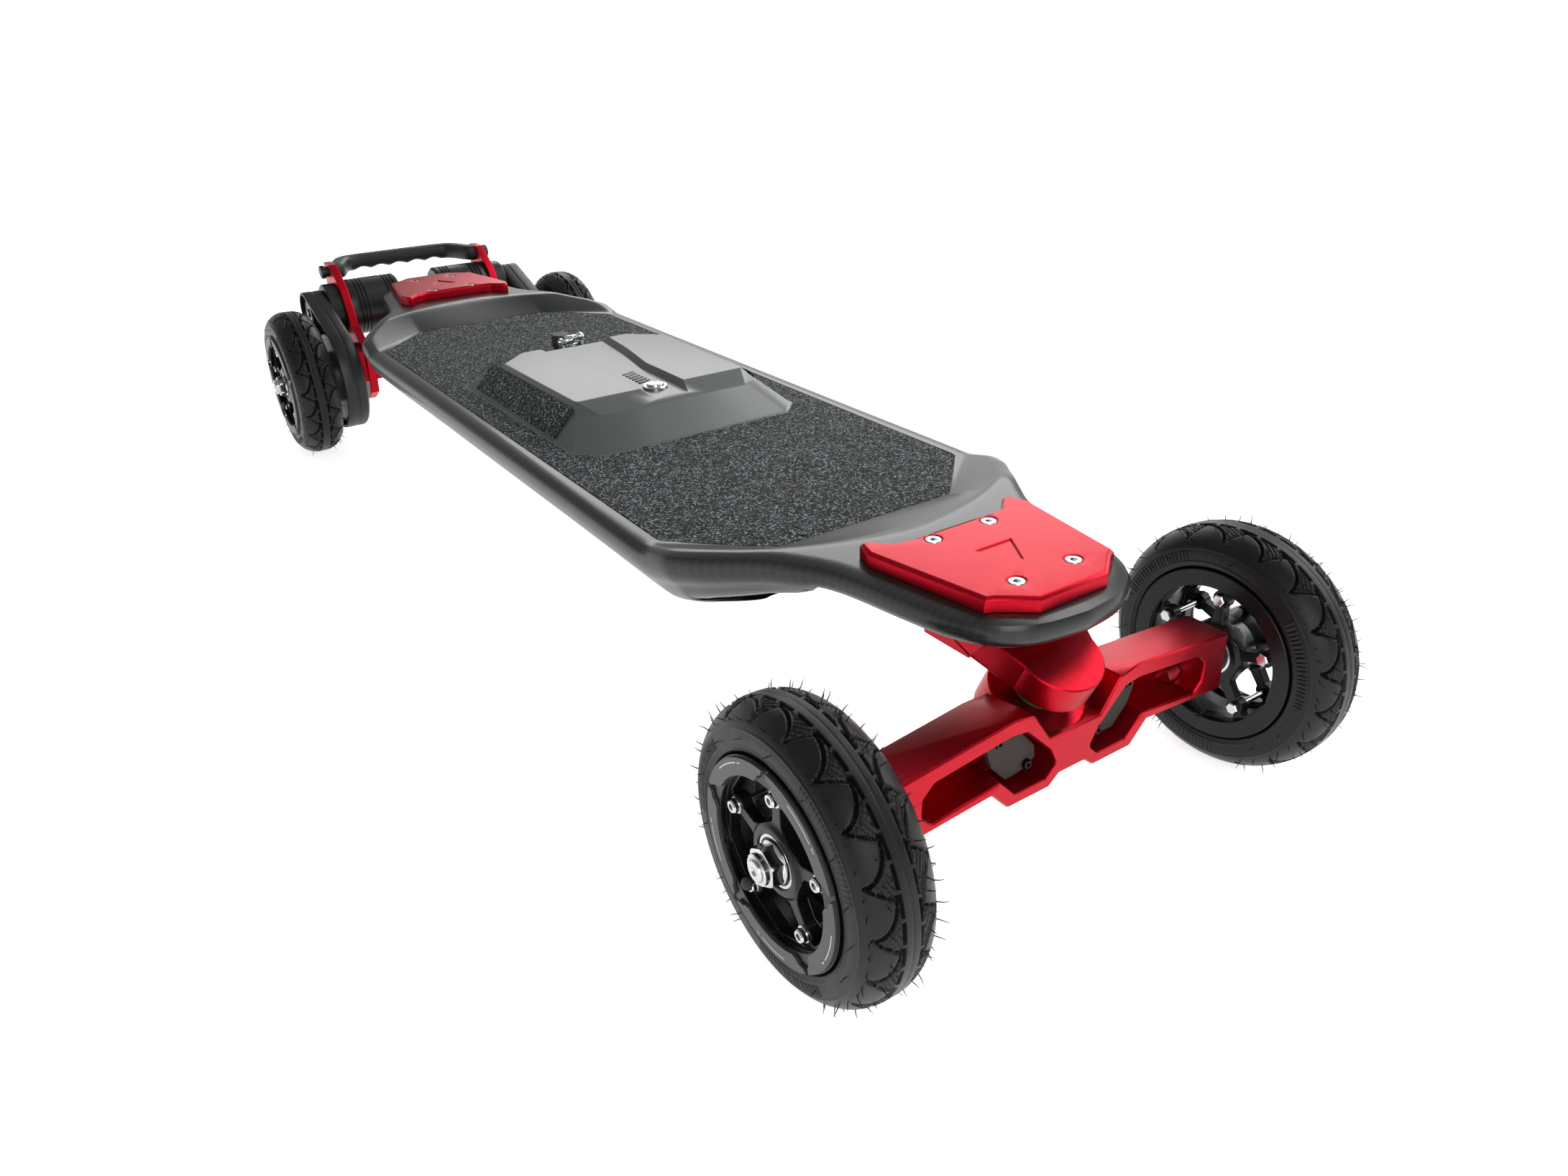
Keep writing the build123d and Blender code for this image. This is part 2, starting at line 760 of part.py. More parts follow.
wheel_tyre = tyre()
rims = [rim_half(1), rim_half(-1)]
hardware = wheel_hardware()
races = bearings()
for end, end_name in ((1, "front"), (-1, "rear")):
    half = hanger_half_front if end > 0 else hanger_half_rear
    plates, insert_screws = inserts()
    rods, nuts = axles(half)
    upper_bush, lower_bush = bushings()
    groups = {
        "clamp_plate": [top_plate()],
        "truck_bolts": [deck_screw(x, y) for x, y in truck_screw_spots()],
        "truck_base": [baseplate()],
        "kingpin": kingpin_set(),
        "bushings": [upper_bush, lower_bush],
        "pivot_bush": [pivot_bush()],
        "hanger": [hanger(half)],
        "window_plates": plates,
        "window_screws": insert_screws,
        "axles": rods,
        "axle_nuts": nuts,
    }
    for x, y in truck_screw_spots():
        place = Pos(end * axle_x, 0, 0) * (Rot(0, 0, 180) if end < 0 else Rot(0, 0, 0))
        body -= place * rod(screw_radius, (x, y, 0), (0, 0, 1), 300)
    for name, solids in groups.items():
        save(f"{end_name}_{name}", *[put_truck(s, end) for s in solids])
    for side, side_name in ((1, "left"), (-1, "right")):
        prefix = f"{end_name}_{side_name}"
        save(f"{prefix}_tyre", put_wheel(wheel_tyre, end, side))
        save(f"{prefix}_rim", *[put_wheel(s, end, side) for s in rims])
        save(f"{prefix}_wheel_bolts", *[put_wheel(s, end, side) for s in hardware])
        save(f"{prefix}_bearings", *[put_wheel(s, end, side) for s in races])


# ================= belt drive at the tail (truck frame, +X is outboard) =================
motor_x = motor_dx
motor_z = axle_z + motor_dz
belt_low = belt_y - belt_width / 2
belt_high = belt_y + belt_width / 2


def stadium(radius_a, radius_b, low_y, high_y):
    """Hull of two circles, at the axle and at the motor shaft."""
    reach = math.hypot(motor_dx, motor_dz)
    lean = math.atan2(motor_dz, motor_dx)
    open_angle = math.acos((radius_a - radius_b) / reach)
    points = []
    for radius, cx, cz in ((radius_a, 0, axle_z), (radius_b, motor_x, motor_z)):
        for sign in (1, -1):
            angle = lean + sign * open_angle
            points.append((cx + radius * math.cos(angle), cz + radius * math.sin(angle)))
    a_high, a_low, b_high, b_low = points
    hull = side_prism([a_high, b_high, b_low, a_low], low_y, high_y)
    return hull + rod_y(radius_a, 0, axle_z, low_y, high_y) + rod_y(radius_b, motor_x, motor_z, low_y, high_y)


def belt(s):
    low, high = sorted((s * belt_low, s * belt_high))
    inner_a = wheel_pulley_radius + fit_gap
    inner_b = motor_pulley_radius + fit_gap
    outer = stadium(inner_a + belt_thickness, inner_b + belt_thickness, low, high)
    return outer - stadium(inner_a, inner_b, low - 1, high + 1)


def guard(s):
    """Cup round the belt, open towards the wheel."""
    inner_face = belt_low - guard_clearance
    rim_face = belt_high + guard_clearance
    low, high = sorted((s * inner_face, s * rim_face))
    clear_a = wheel_pulley_radius + belt_thickness + guard_clearance
    clear_b = motor_pulley_radius + belt_thickness + guard_clearance + 1
    shell = stadium(clear_a + guard_wall, clear_b + guard_wall, low, high)
    pocket_low, pocket_high = sorted((s * (inner_face + guard_wall), s * (rim_face + 5)))
    shell -= stadium(clear_a, clear_b, pocket_low, pocket_high)
    hole_low, hole_high = sorted((s * (inner_face - 5), s * (rim_face + 5)))
    shell -= rod_y(axle_radius + 3, 0, axle_z, hole_low, hole_high)
    shell -= rod_y(motor_boss_radius, motor_x, motor_z, hole_low, hole_high)
    return shell


def toothed(teeth, pitch_radius, low, high, x, z):
    """Pulley with round tooth gaps."""
    wheel = rod_y(pitch_radius, x, z, low, high)
    for i in range(teeth):
        angle = 2 * math.pi * i / teeth
        gap_x = x + pitch_radius * math.cos(angle)
        gap_z = z + pitch_radius * math.sin(angle)
        wheel -= rod_y(tooth_gap_radius, gap_x, gap_z, low - 1, high + 1)
    return wheel


def wheel_pulley(s):
    low, high = sorted((s * (belt_low - 0.2), s * (belt_high + 1)))
    pulley = toothed(wheel_teeth, wheel_pulley_radius, low, high, 0, axle_z)
    low, high = sorted((s * belt_high, s * (wheel_y - hub_half + 4.5)))
    pulley += rod_y(wheel_bolt_circle - 8, 0, axle_z, low, high)
    low, high = sorted((s * (belt_low - 5), s * (wheel_y + 5)))
    pulley -= rod_y(hub_boss_radius + 0.5, 0, axle_z, low, high)
    return pulley


def motor_pulley(s):
    low, high = sorted((s * (belt_low - 0.2), s * (belt_high + 0.5)))
    pulley = toothed(motor_teeth, motor_pulley_radius, low, high, motor_x, motor_z)
    low, high = sorted((s * (belt_low - 12), s * (belt_high + 2)))
    return pulley + rod_y(shaft_radius, motor_x, motor_z, low, high)


def motor(s):
    """Outer can and end cap of one motor, with a boss that carries the guard."""
    low, high = sorted((s * (arm_inner - motor_length), s * arm_inner))
    can = rod_y(motor_radius, motor_x, motor_z, low, high)
    low, high = sorted((s * arm_inner, s * (belt_low - guard_clearance + guard_wall)))
    boss = rod_y(motor_boss_radius, motor_x, motor_z, low, high)
    low, high = sorted((s * (belt_low - 13), s * wheel_y))
    return can + boss - rod_y(shaft_radius + running_fit, motor_x, motor_z, low, high)


def end_can(s):
    """Round cover outboard of each motor arm."""
    low, high = sorted((s * arm_outer, s * (belt_low - guard_clearance)))
    cover = rod_y(motor_radius - 2, motor_x, motor_z, low, high)
    return cover - rod_y(motor_boss_radius, motor_x, motor_z, low - 5, high + 5)


def arm(s):
    """Plate that clamps the hanger, holds the motor and carries the handle."""
    points = [
        (-20, axle_z + 24), (-14, axle_z - 22), (6, axle_z - 34), (24, axle_z - 30), (40, axle_z + 4),
        (motor_x + 30, motor_z - 18), (motor_x + 34, motor_z + 12), (motor_x + 30, handle_z + 9),
        (motor_x + 6, handle_z + 9), (motor_x - 24, motor_z + 26), (20, axle_z + 48),
    ]
    low, high = sorted((s * arm_inner, s * arm_outer))
    plate = side_prism(points, low, high)
    plate -= hanger_block(hanger_half_rear)
    plate -= rod_y(motor_boss_radius, motor_x, motor_z, low - 5, high + 5)
    plate -= rod_y(handle_radius - 2, motor_x + 18, handle_z, low - 5, high + 5)
    return plate


def handle():
    """Grab handle bowed back between the arm tops, finger grooves underneath."""
    end_x = motor_x + 18
    path_points = [
        (end_x, arm_inner), (handle_reach, handle_bend), (handle_reach, -handle_bend), (end_x, -arm_inner)
    ]
    outer = [(x + handle_radius, y) for x, y in path_points]
    inner = [(x - handle_radius, y) for x, y in reversed(path_points)]
    bar = prism(outer + inner, handle_z - handle_radius, handle_z + handle_radius)
    for i in range(finger_grooves):
        y = (i - (finger_grooves - 1) / 2) * finger_pitch
        bar -= rod(12, (handle_reach - 20, y, handle_z - handle_radius - 8.5), (1, 0, 0), 40)
    for s in (-1, 1):
        low, high = sorted((s * (arm_inner - 8), s * (arm_outer + 8)))
        bar += rod_y(handle_radius - 2, end_x, handle_z, low, high)
    return bar


def put_rear(solid):
    return put_truck(solid, -1)


save("belts", put_rear(belt(1)), put_rear(belt(-1)))
save("belt_guards", put_rear(guard(1)), put_rear(guard(-1)))
save("motors", *[put_rear(piece(s)) for piece in (motor, end_can) for s in (1, -1)])
save("motor_arms", put_rear(arm(1)), put_rear(arm(-1)))
save("carry_handle", put_rear(handle()))
for s, side_name in ((-1, "left"), (1, "right")):
    save(f"{side_name}_wheel_pulley", put_rear(wheel_pulley(s)))
    save(f"{side_name}_motor_pulley", put_rear(motor_pulley(s)))

save("deck_shell", body)
save("bay_lid", lid)
save("grip_tape", grip, *pads)
save("lid_screws", *lid_screws)
save("hump_cover", hump)
save("charge_level_bars", *leds)
save("button_bezel", bezel)
save("power_button", button)
save("latch_base", latch_base, latch_knob)
save("latch_lever", latch_lever)
save("battery_cells", *cells)
save("battery_tray", cell_tray)
save("motor_controller", controller)
print("box_shift", box_shift, "nodes", len(os.listdir("parts")))
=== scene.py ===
import math
import random

import bmesh
import bpy
import numpy as np
from mathutils import Matrix, Vector


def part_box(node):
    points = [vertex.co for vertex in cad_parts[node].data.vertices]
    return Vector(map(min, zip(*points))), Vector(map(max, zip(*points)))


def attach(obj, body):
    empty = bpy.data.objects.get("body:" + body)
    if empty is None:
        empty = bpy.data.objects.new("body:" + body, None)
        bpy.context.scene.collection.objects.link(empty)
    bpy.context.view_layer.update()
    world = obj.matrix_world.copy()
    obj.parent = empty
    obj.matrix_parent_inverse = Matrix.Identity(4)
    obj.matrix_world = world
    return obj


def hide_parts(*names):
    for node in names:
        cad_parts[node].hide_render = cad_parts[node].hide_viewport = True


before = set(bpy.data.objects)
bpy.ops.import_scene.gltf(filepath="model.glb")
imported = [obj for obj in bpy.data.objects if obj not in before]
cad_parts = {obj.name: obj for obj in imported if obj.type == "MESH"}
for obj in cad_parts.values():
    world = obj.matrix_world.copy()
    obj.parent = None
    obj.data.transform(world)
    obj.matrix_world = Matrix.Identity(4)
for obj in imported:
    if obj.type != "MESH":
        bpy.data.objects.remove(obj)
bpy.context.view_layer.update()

# ---------------- deck shell ----------------
# The board's body is one hollow moulding of carbon twill in epoxy: a flat platform with a boat-shaped
# belly under it, and a raised nose and tail that carry the trucks. Nothing is machined but the
# recess for the lid, so every outer edge is round.
MM = 0.001


def box(name):
    """The low and high corner of a CAD node, in millimetres."""
    low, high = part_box(name)
    return low / MM, high / MM


shell_low, shell_high = box("deck_shell")
lid_low, lid_high = box("bay_lid")
centre_x = (shell_low.x + shell_high.x) / 2
reach = (shell_high.x - shell_low.x) / 2
half_width = shell_high.y
nose_top = shell_high.z
belly_z = shell_low.z
rim_z = lid_high.z + 1.0
nose_thickness = 17.0
riser_base = (lid_high.x - lid_low.x) / 2 - 1.0
panel_half_width = lid_high.y
panel_corner = 52.0
panel_front = panel_half_width - panel_corner
recess_depth = 5.0
shoulder_width = 11.0
bend_share = 0.10
hull_start, hull_length = riser_base - 130.0, 185.0
belly_inset, nose_inset = 96.0, 60.0


def linear(code, alpha=1.0):
    """An sRGB hex colour as linear RGBA."""
    parts = [int(code[i:i + 2], 16) / 255 for i in (1, 3, 5)]
    return tuple(p / 12.92 if p <= 0.04045 else ((p + 0.055) / 1.055) ** 2.4 for p in parts) + (alpha,)


def material(name, **surface):
    """A material with one Principled surface, whose sockets take the given uniform values."""
    made = bpy.data.materials.new(name)
    made.use_nodes = True
    shader = made.node_tree.nodes["Principled BSDF"]
    for socket, value in surface.items():
        shader.inputs[socket.replace("_", " ")].default_value = value
    return made


def node(owner, kind, inputs=None, **settings):
    """Add a node: inputs maps a socket to a value, or to the output that feeds it."""
    made = owner.node_tree.nodes.new("ShaderNode" + kind)
    for name, value in settings.items():
        setattr(made, name, value)
    for key, value in (inputs or {}).items():
        if isinstance(value, bpy.types.NodeSocket):
            owner.node_tree.links.new(value, made.inputs[key])
        else:
            made.inputs[key].default_value = value
    return made


def feed(owner, **sources):
    """Link outputs into the material's Principled surface."""
    shader = owner.node_tree.nodes["Principled BSDF"]
    for socket, source in sources.items():
        owner.node_tree.links.new(source, shader.inputs[socket.replace("_", " ")])


def new_piece(name, mesh, body, finish, slot, *replaced, smooth=40, place=None):
    """Link a mesh as a piece that rides on a body and stands for CAD nodes."""
    mesh.name = name
    made = bpy.data.objects.new(name, mesh)
    bpy.context.scene.collection.objects.link(made)
    mesh.materials.clear()
    mesh.materials.append(finish)
    mesh.polygons.foreach_set("use_smooth", [True] * len(mesh.polygons))
    mesh.set_sharp_from_angle(angle=math.radians(smooth))
    if place is not None:
        made.matrix_world = place
    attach(made, body)
    if replaced:
        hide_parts(*replaced)
    return made


def mesh_from(build, *args):
    """Run a bmesh recipe and return its mesh, in metres from millimetres."""
    work = bmesh.new()
    build(work, *args)
    bmesh.ops.remove_doubles(work, verts=work.verts, dist=0.01)
    bmesh.ops.recalc_face_normals(work, faces=work.faces)
    bmesh.ops.scale(work, vec=(MM, MM, MM), verts=work.verts)
    mesh = bpy.data.meshes.new("mesh")
    work.to_mesh(mesh)
    work.free()
    return mesh


def skin(work, rows, closed=False):
    """Quads between rows of points that all have the same length."""
    verts = [[work.verts.new(p) for p in row] for row in rows]
    for a, b in zip(verts, verts[1:] + (verts[:1] if closed else [])):
        for i in range(len(a) - 1):
            corners = [a[i], a[i + 1], b[i + 1], b[i]]
            if len({tuple(round(c, 4) for c in v.co) for v in corners}) > 2:
                work.faces.new(corners)


def both_sides(work, rows):
    """Skin the rows, and their mirror image across the middle of the board."""
    skin(work, rows)
    skin(work, [[(x, -y, z) for x, y, z in row] for row in rows])


def running_lengths(points):
    """How far along its line each point lies."""
    runs = [0.0]
    for a, b in zip(points, points[1:]):
        runs.append(runs[-1] + (b - a).length)
    return runs


def smooth_line(points, count):
    """Points evenly along a Catmull-Rom curve through the given ones."""
    ends = [points[0]] + list(points) + [points[-1]]
    dense = []
    for a, b, c, d in zip(ends, ends[1:], ends[2:], ends[3:]):
        a, b, c, d = (Vector(p) for p in (a, b, c, d))
        for i in range(12):
            t = i / 12
            dense.append(b + 0.5 * t * (c - a + t * (2 * a - 5 * b + 4 * c - d + t * (3 * (b - c) + d - a))))
    dense.append(Vector(points[-1]))
    runs = running_lengths(dense)
    wanted = np.linspace(0, runs[-1], count)
    columns = [np.interp(wanted, runs, [p[i] for p in dense]) for i in range(len(dense[0]))]
    return [Vector(p) for p in zip(*columns)]


# plan of one quarter, from the middle of the platform to the tip of the nose
quarter_plan = [
    (0, half_width), (150, half_width), (riser_base - 42, half_width), (riser_base - 12, half_width - 6),
    (riser_base + 15, half_width - 24), (riser_base + 41, half_width - 42.5),
    (reach - 112, half_width - 57.5), (reach - 67, half_width - 66), (reach - 37, half_width - 72.5),
    (reach - 16, half_width - 86), (reach - 4, half_width - 107), (reach, 0),
]


def deck_top(x, y):
    """Height of the upper face: flat platform, then a straight riser up to an arched crest."""
    x, y = abs(x), abs(y)
    crest = riser_base + 50 - 29 * (min(y, 120) / 95) ** 1.7
    foot = riser_base - max(0.0, y - panel_front) * 0.86
    t = (x - foot) / max(crest - foot, 1)
    ramp = min(max(t, 0.0), 1.0)
    if t < bend_share:
        ramp = max(t + bend_share, 0) ** 2 / (4 * bend_share)
    elif t > 1 - bend_share:
        ramp = 1 - max(1 + bend_share - t, 0) ** 2 / (4 * bend_share)
    return rim_z + (nose_top - rim_z) * ramp


def lid_edge(x):
    """The point on the lid recess that the outline looks at from a station along the board."""
    sign, x = math.copysign(1, x), abs(x)
    start, stop = riser_base - panel_corner, riser_base + 6
    if x <= start:
        return Vector((sign * x, panel_half_width + 0.8))
    if x <= stop:
        t = (x - start) / (stop - start)
        return Vector((sign * (start + t * panel_corner + 0.5), panel_half_width + 0.6 - t * panel_corner))
    t = (x - stop) / (reach - stop)
    return Vector((sign * (riser_base + 0.8), panel_front * (1 - t)))


def deck_mesh(work):
    half = smooth_line(quarter_plan, 120)
    plan = [Vector((-p.x, p.y)) for p in reversed(half[1:])] + half
    rows = []
    for i, p in enumerate(plan):
        before, after = plan[max(i - 1, 0)], plan[min(i + 1, len(plan) - 1)]
        along = (after - before).normalized()
        inward = Vector((along.y, -along.x))
        if i in (0, len(plan) - 1):
            inward = Vector((-math.copysign(1, p.x), 0))
        edge = lid_edge(p.x)
        rim = p + inward * min(shoulder_width, p.y + shoulder_width)
        rim.y = max(rim.y, 0.0)
        row = [(edge.x, edge.y * f, rim_z - recess_depth - 0.2) for f in (0.0, 0.5, 0.96)]
        row += [(edge.x, edge.y, rim_z - recess_depth), (edge.x, edge.y, rim_z - 0.5)]
        for k in range(25):
            q = edge.lerp(rim, k / 24)
            row.append((q.x, q.y, deck_top(q.x, q.y) - (0.35 if k == 0 else 0)))
        # deep is 1 along the belly and falls to 0 under the nose, as a boat's keel rises to its bow
        hull = min(max((abs(p.x) - hull_start) / hull_length, 0.0), 1.0)
        deep = math.sqrt(1 - hull ** 2.2)
        top = deck_top(rim.x, rim.y)
        bottom = belly_z * deep + (nose_top - nose_thickness) * (1 - deep)
        thick = top - bottom
        side = [(6.5, 0.3), (3.4, 1.2), (1.3, 2.9), (0.3, 5.2), (0.0, 8.0)]
        low = [
            (0.4 + 0.6 * deep, 10.0 + 1.5 * deep),
            (1.6 + 2.6 * deep, 12.6 + 6.5 * deep),
            (3.6 + 7.5 * deep, 14.6 + 11.5 * deep),
            (7.0 + 19.0 * deep, min(thick - 1.6, 16.2 + 27 * deep)),
            (12.0 + 34.0 * deep + 20 * hull, min(thick - 0.6, 16.8 + 39 * deep)),
            (59.0 + 30 * hull, thick - 0.15),
            (70.0 + 25 * hull, thick),
        ]
        deepest = nose_inset if abs(p.x) > riser_base + 56 else belly_inset
        for inset, drop in smooth_line(side + low, 26):
            q = p + inward * min(inset, deepest)
            row.append((q.x, max(q.y, 0.0), top - drop))
        under = Vector(row[-1])
        row += [(under.x, under.y * f, bottom) for f in (0.66, 0.33, 0.0)]
        rows.append([(x + centre_x, y, z) for x, y, z in row])
    both_sides(work, rows)


# Carbon twill under satin lacquer: tows 1.8 mm wide, laid two over and two under at 45 degrees. The tows
# that run across the light are painted paler, a painted sheen which gives the eye a fine slanting check.
tow_mm = 1.8


def carbon(name, dark, pale, gloss):
    made = material(name, Roughness=gloss, Coat_Weight=0.16, Coat_Roughness=0.12, Specular_IOR_Level=0.36)
    place = node(made, "SeparateXYZ", {0: node(made, "TexCoord").outputs["Object"]})
    slope = node(made, "Math", {0: place.outputs[2], 1: -0.6}, operation="MULTIPLY")
    across = node(made, "Math", {0: place.outputs[1], 1: slope.outputs[0]}, operation="ADD")
    steps = []
    for operation in ("ADD", "SUBTRACT"):
        lean = node(made, "Math", {0: place.outputs[0], 1: across.outputs[0]}, operation=operation)
        scaled = node(made, "Math", {0: lean.outputs[0], 1: 0.7071 / (tow_mm * MM)}, operation="MULTIPLY")
        steps.append(scaled.outputs[0])
    floors = [node(made, "Math", {0: s}, operation="FLOOR").outputs[0] for s in steps]
    total = node(made, "Math", {0: floors[0], 1: floors[1]}, operation="ADD")
    turn = node(made, "Math", {0: total.outputs[0], 1: 4.0}, operation="FLOORED_MODULO")
    over = node(made, "Math", {0: turn.outputs[0], 1: 1.5}, operation="GREATER_THAN")
    folds = [node(made, "Math", {0: s, 1: 1.0}, operation="PINGPONG").outputs[0] for s in steps]
    crown = node(made, "Mix", {0: over.outputs[0], 2: folds[0], 3: folds[1]})
    cloud = node(made, "TexNoise", {"Scale": 9.0, "Detail": 3.0})
    shade = node(made, "Math", {0: cloud.outputs[0], 1: 0.35}, operation="MULTIPLY")
    # The over tows are painted paler here as painted sheen; the noise cloud adds random tone.
    amount = node(made, "Math", {0: over.outputs[0], 1: 0.45, 2: shade.outputs[0]}, operation="MULTIPLY_ADD")
    colour = node(made, "Mix", {0: amount.outputs[0], 6: linear(dark), 7: linear(pale)}, data_type="RGBA")
    bump = node(made, "Bump", {"Strength": 0.05, "Distance": 0.0002, "Height": crown.outputs[0]})
    feed(made, Base_Color=colour.outputs[2], Normal=bump.outputs[0])
    return made


deck_carbon = carbon("satin_carbon_twill", "#141715", "#232725", 0.32)
new_piece("deck_shell_moulding", mesh_from(deck_mesh), "deck", deck_carbon, "carbon", "deck_shell")

# ---------------- lid, grip sheet and side pads ----------------
# The platform is closed by a flat lid. Coarse black silicon-carbide grip sheet is glued over it and over
# the sloping sides of the hump; small black screws hold the lid along its edge.
grip_top = lid_high.z + 1.4


def grip_mesh(work):
    """The sheet as a fine net, lifted a little at random where a grain stands."""
    rng = np.random.default_rng(7)
    step, foot = 2.4, grip_top - 1.3
    columns = int(2 * riser_base / step) + 1
    lines = int(2 * panel_half_width / step) + 1
    end = riser_base + 1
    rows = []
    for x in np.linspace(-end, end, columns):
        reach_y = panel_half_width - max(0.0, abs(x) - (end - panel_corner))
        ys = np.linspace(-reach_y, reach_y, lines)
        lift = rng.random(lines) ** 3 * 0.55
        lift[0] = lift[-1] = 0
        row = [(x, y, grip_top - 0.35 + z) for y, z in zip(ys, lift)]
        rows.append([(x, -reach_y, foot)] + row + [(x, reach_y, foot)])
    first, last = ([(x, y, foot) for x, y, z in rows[at]] for at in (0, -1))
    skin(work, [[(x + centre_x, y, z) for x, y, z in row] for row in [first] + rows + [last]])


# Silicon-carbide grit bonded on cloth: near black and very rough. A grain here and there is painted pale and
# made smoother, a painted glint standing in for a grain face that flashes in the light. Grit 60 is 0.3 mm;
# it is drawn at 1 mm so that it shows.
grain_mm = 1.0
grip_grit = material("black_grip_grit", Roughness=0.85, Specular_IOR_Level=0.45)
grit_place = node(grip_grit, "TexCoord").outputs["Object"]
grit_cells = node(grip_grit, "TexVoronoi", {"Vector": grit_place, "Scale": 1 / (grain_mm * MM)})
grit_draw = node(grip_grit, "SeparateColor", {0: grit_cells.outputs["Color"]})
# Pale cells are a painted glint: a bright base colour standing in for grain faces that flash in the light.
grit_painted_glint = node(grip_grit, "ValToRGB", {0: grit_draw.outputs[0]})
for element, position, code in zip(grit_painted_glint.color_ramp.elements, (0.78, 0.97), ("#111517", "#c4cfd4")):
    element.position = position
    element.color = linear(code)
grit_speck = node(grip_grit, "TexNoise", {"Vector": grit_place, "Scale": 1.5 / (grain_mm * MM)})
grit_mix = node(grip_grit, "Mix", {0: grit_speck.outputs[0], 6: linear("#101214"), 7: grit_painted_glint.outputs[0]},
                data_type="RGBA")
grit_shine = node(grip_grit, "MapRange", {0: grit_draw.outputs[1], 1: 0.7, 2: 1.0, 3: 0.9, 4: 0.3})
grit_bump = node(grip_grit, "Bump", {"Strength": 0.9, "Distance": 0.6 * MM,
                                     "Height": grit_cells.outputs["Distance"]})
feed(grip_grit, Base_Color=grit_mix.outputs[2], Roughness=grit_shine.outputs[0], Normal=grit_bump.outputs[0])
new_piece("grip_sheet", mesh_from(grip_mesh), "deck", grip_grit, "grip", "grip_tape", smooth=80)


UP = (0, 0, 1)
SIDEWAYS = (0, 1, 0)


def lathe(work, profile, centre=(0, 0, 0), axis=UP, steps=32):
    """Sweep (radius, height) points about an axis. The profile can be a function of the angle."""
    turn = Vector(UP).rotation_difference(Vector(axis)).to_matrix()
    rows = []
    for i in range(steps):
        a = math.tau * i / steps
        points = profile(a) if callable(profile) else profile
        c, s = math.cos(a), math.sin(a)
        rows.append([Vector(centre) + turn @ Vector((r * c, r * s, h)) for r, h in points])
    skin(work, rows, closed=True)


def hexagon(angle, half_across):
    """How far a hexagon's side lies from its centre, at an angle."""
    sector = (angle + math.pi / 6) % (math.pi / 3) - math.pi / 6
    return half_across / math.cos(sector)


def socket_head(work, centre, radius, height, direction, across=0.55, domed=0.25):
    """Cap screw head with a hexagon socket, its face looking along direction."""
    rim = [(radius, 0), (radius, height * (1 - domed)), (radius * 0.86, height), (radius * across, height)]
    half_across = radius * across * 0.92 * math.cos(math.pi / 6)

    def profile(angle):
        flat = hexagon(angle, half_across)
        return rim + [(flat, height), (flat, height * 0.3), (0, height * 0.25)]

    lathe(work, profile, centre, direction, 24)


def islands(name):
    """The middle, low corner and high corner in mm of each loose piece of a CAD node's mesh."""
    work = bmesh.new()
    work.from_mesh(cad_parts[name].data)
    bmesh.ops.remove_doubles(work, verts=work.verts, dist=1e-6)
    seen = set()
    found = []
    for start in work.verts:
        if start in seen:
            continue
        stack, group = [start], []
        seen.add(start)
        while stack:
            v = stack.pop()
            group.append(v.co / MM)
            fresh = {e.other_vert(v) for e in v.link_edges} - seen
            seen |= fresh
            stack += fresh
        low = Vector([min(p[i] for p in group) for i in range(3)])
        high = Vector([max(p[i] for p in group) for i in range(3)])
        found.append(((low + high) / 2, low, high))
    work.free()
    return found


def lid_screw_mesh(work):
    for middle, low, high in islands("lid_screws"):
        socket_head(work, (middle.x, middle.y, grip_top - 0.9), 3.0, 1.1, UP)


def mottled(name, dark, pale, cloud, detail=2.0, rough=None, pits=None, bump=None, **surface):
    """A finish whose tone drifts with a soft cloud; roughness drifts too, and pits give it a grain.

    cloud and pits are texture scales, rough is (least, most), and bump is (strength, depth in mm).
    """
    made = material(name, **surface)
    drift = node(made, "TexNoise", {"Scale": cloud, "Detail": detail}).outputs[0]
    tone = node(made, "Mix", {0: drift, 6: linear(dark), 7: linear(pale)}, data_type="RGBA")
    feed(made, Base_Color=tone.outputs[2])
    if rough:
        matt = node(made, "MapRange", {0: drift, 3: rough[0], 4: rough[1]})
        feed(made, Roughness=matt.outputs[0])
    if bump:
        grain = node(made, "TexNoise", {"Scale": pits[0], "Detail": pits[1]}).outputs[0] if pits else drift
        relief = node(made, "Bump", {"Strength": bump[0], "Distance": bump[1] * MM, "Height": grain})
        feed(made, Normal=relief.outputs[0])
    return made


# Black-oxide steel: a dark, slightly oily metal that still catches small highlights on its edges.
black_oxide = mottled("black_oxide_steel", "#141415", "#3a3a3c", 220.0, rough=(0.28, 0.5), Metallic=1.0)
new_piece("lid_screw_heads", mesh_from(lid_screw_mesh), "deck", black_oxide, "black_screw", "lid_screws")

# ---------------- hump cover ----------------
# A second carbon moulding in the middle of the platform covers the wiring. It is a low faceted block with
# a flat spread foot, a wide bevel, and a shallow channel along its top for the button and the lights.
hump_low, hump_high = box("hump_cover")
hump_x = (hump_low.x + hump_high.x) / 2
hump_base, hump_top = hump_low.z, hump_high.z
channel_floor = hump_top - 5.0
channel_points = [(hump_x + 108, 15), (hump_x + 10, 15), (hump_x - 42, 24), (hump_x - 140, 35)]


def hump_ring(front, front_y, shoulder_x, side_y, back_x, back_y, tail, tail_y, z):
    """Half of the hump's outline at one height, from its front to its tail."""
    half = [
        (front, 0), (front, front_y * 0.5), (front, front_y), (shoulder_x, side_y), (0, side_y + 1),
        (back_x, back_y), (tail, tail_y), (tail, tail_y * 0.5), (tail, 0),
    ]
    return [(x + centre_x, y, z) for x, y in half]


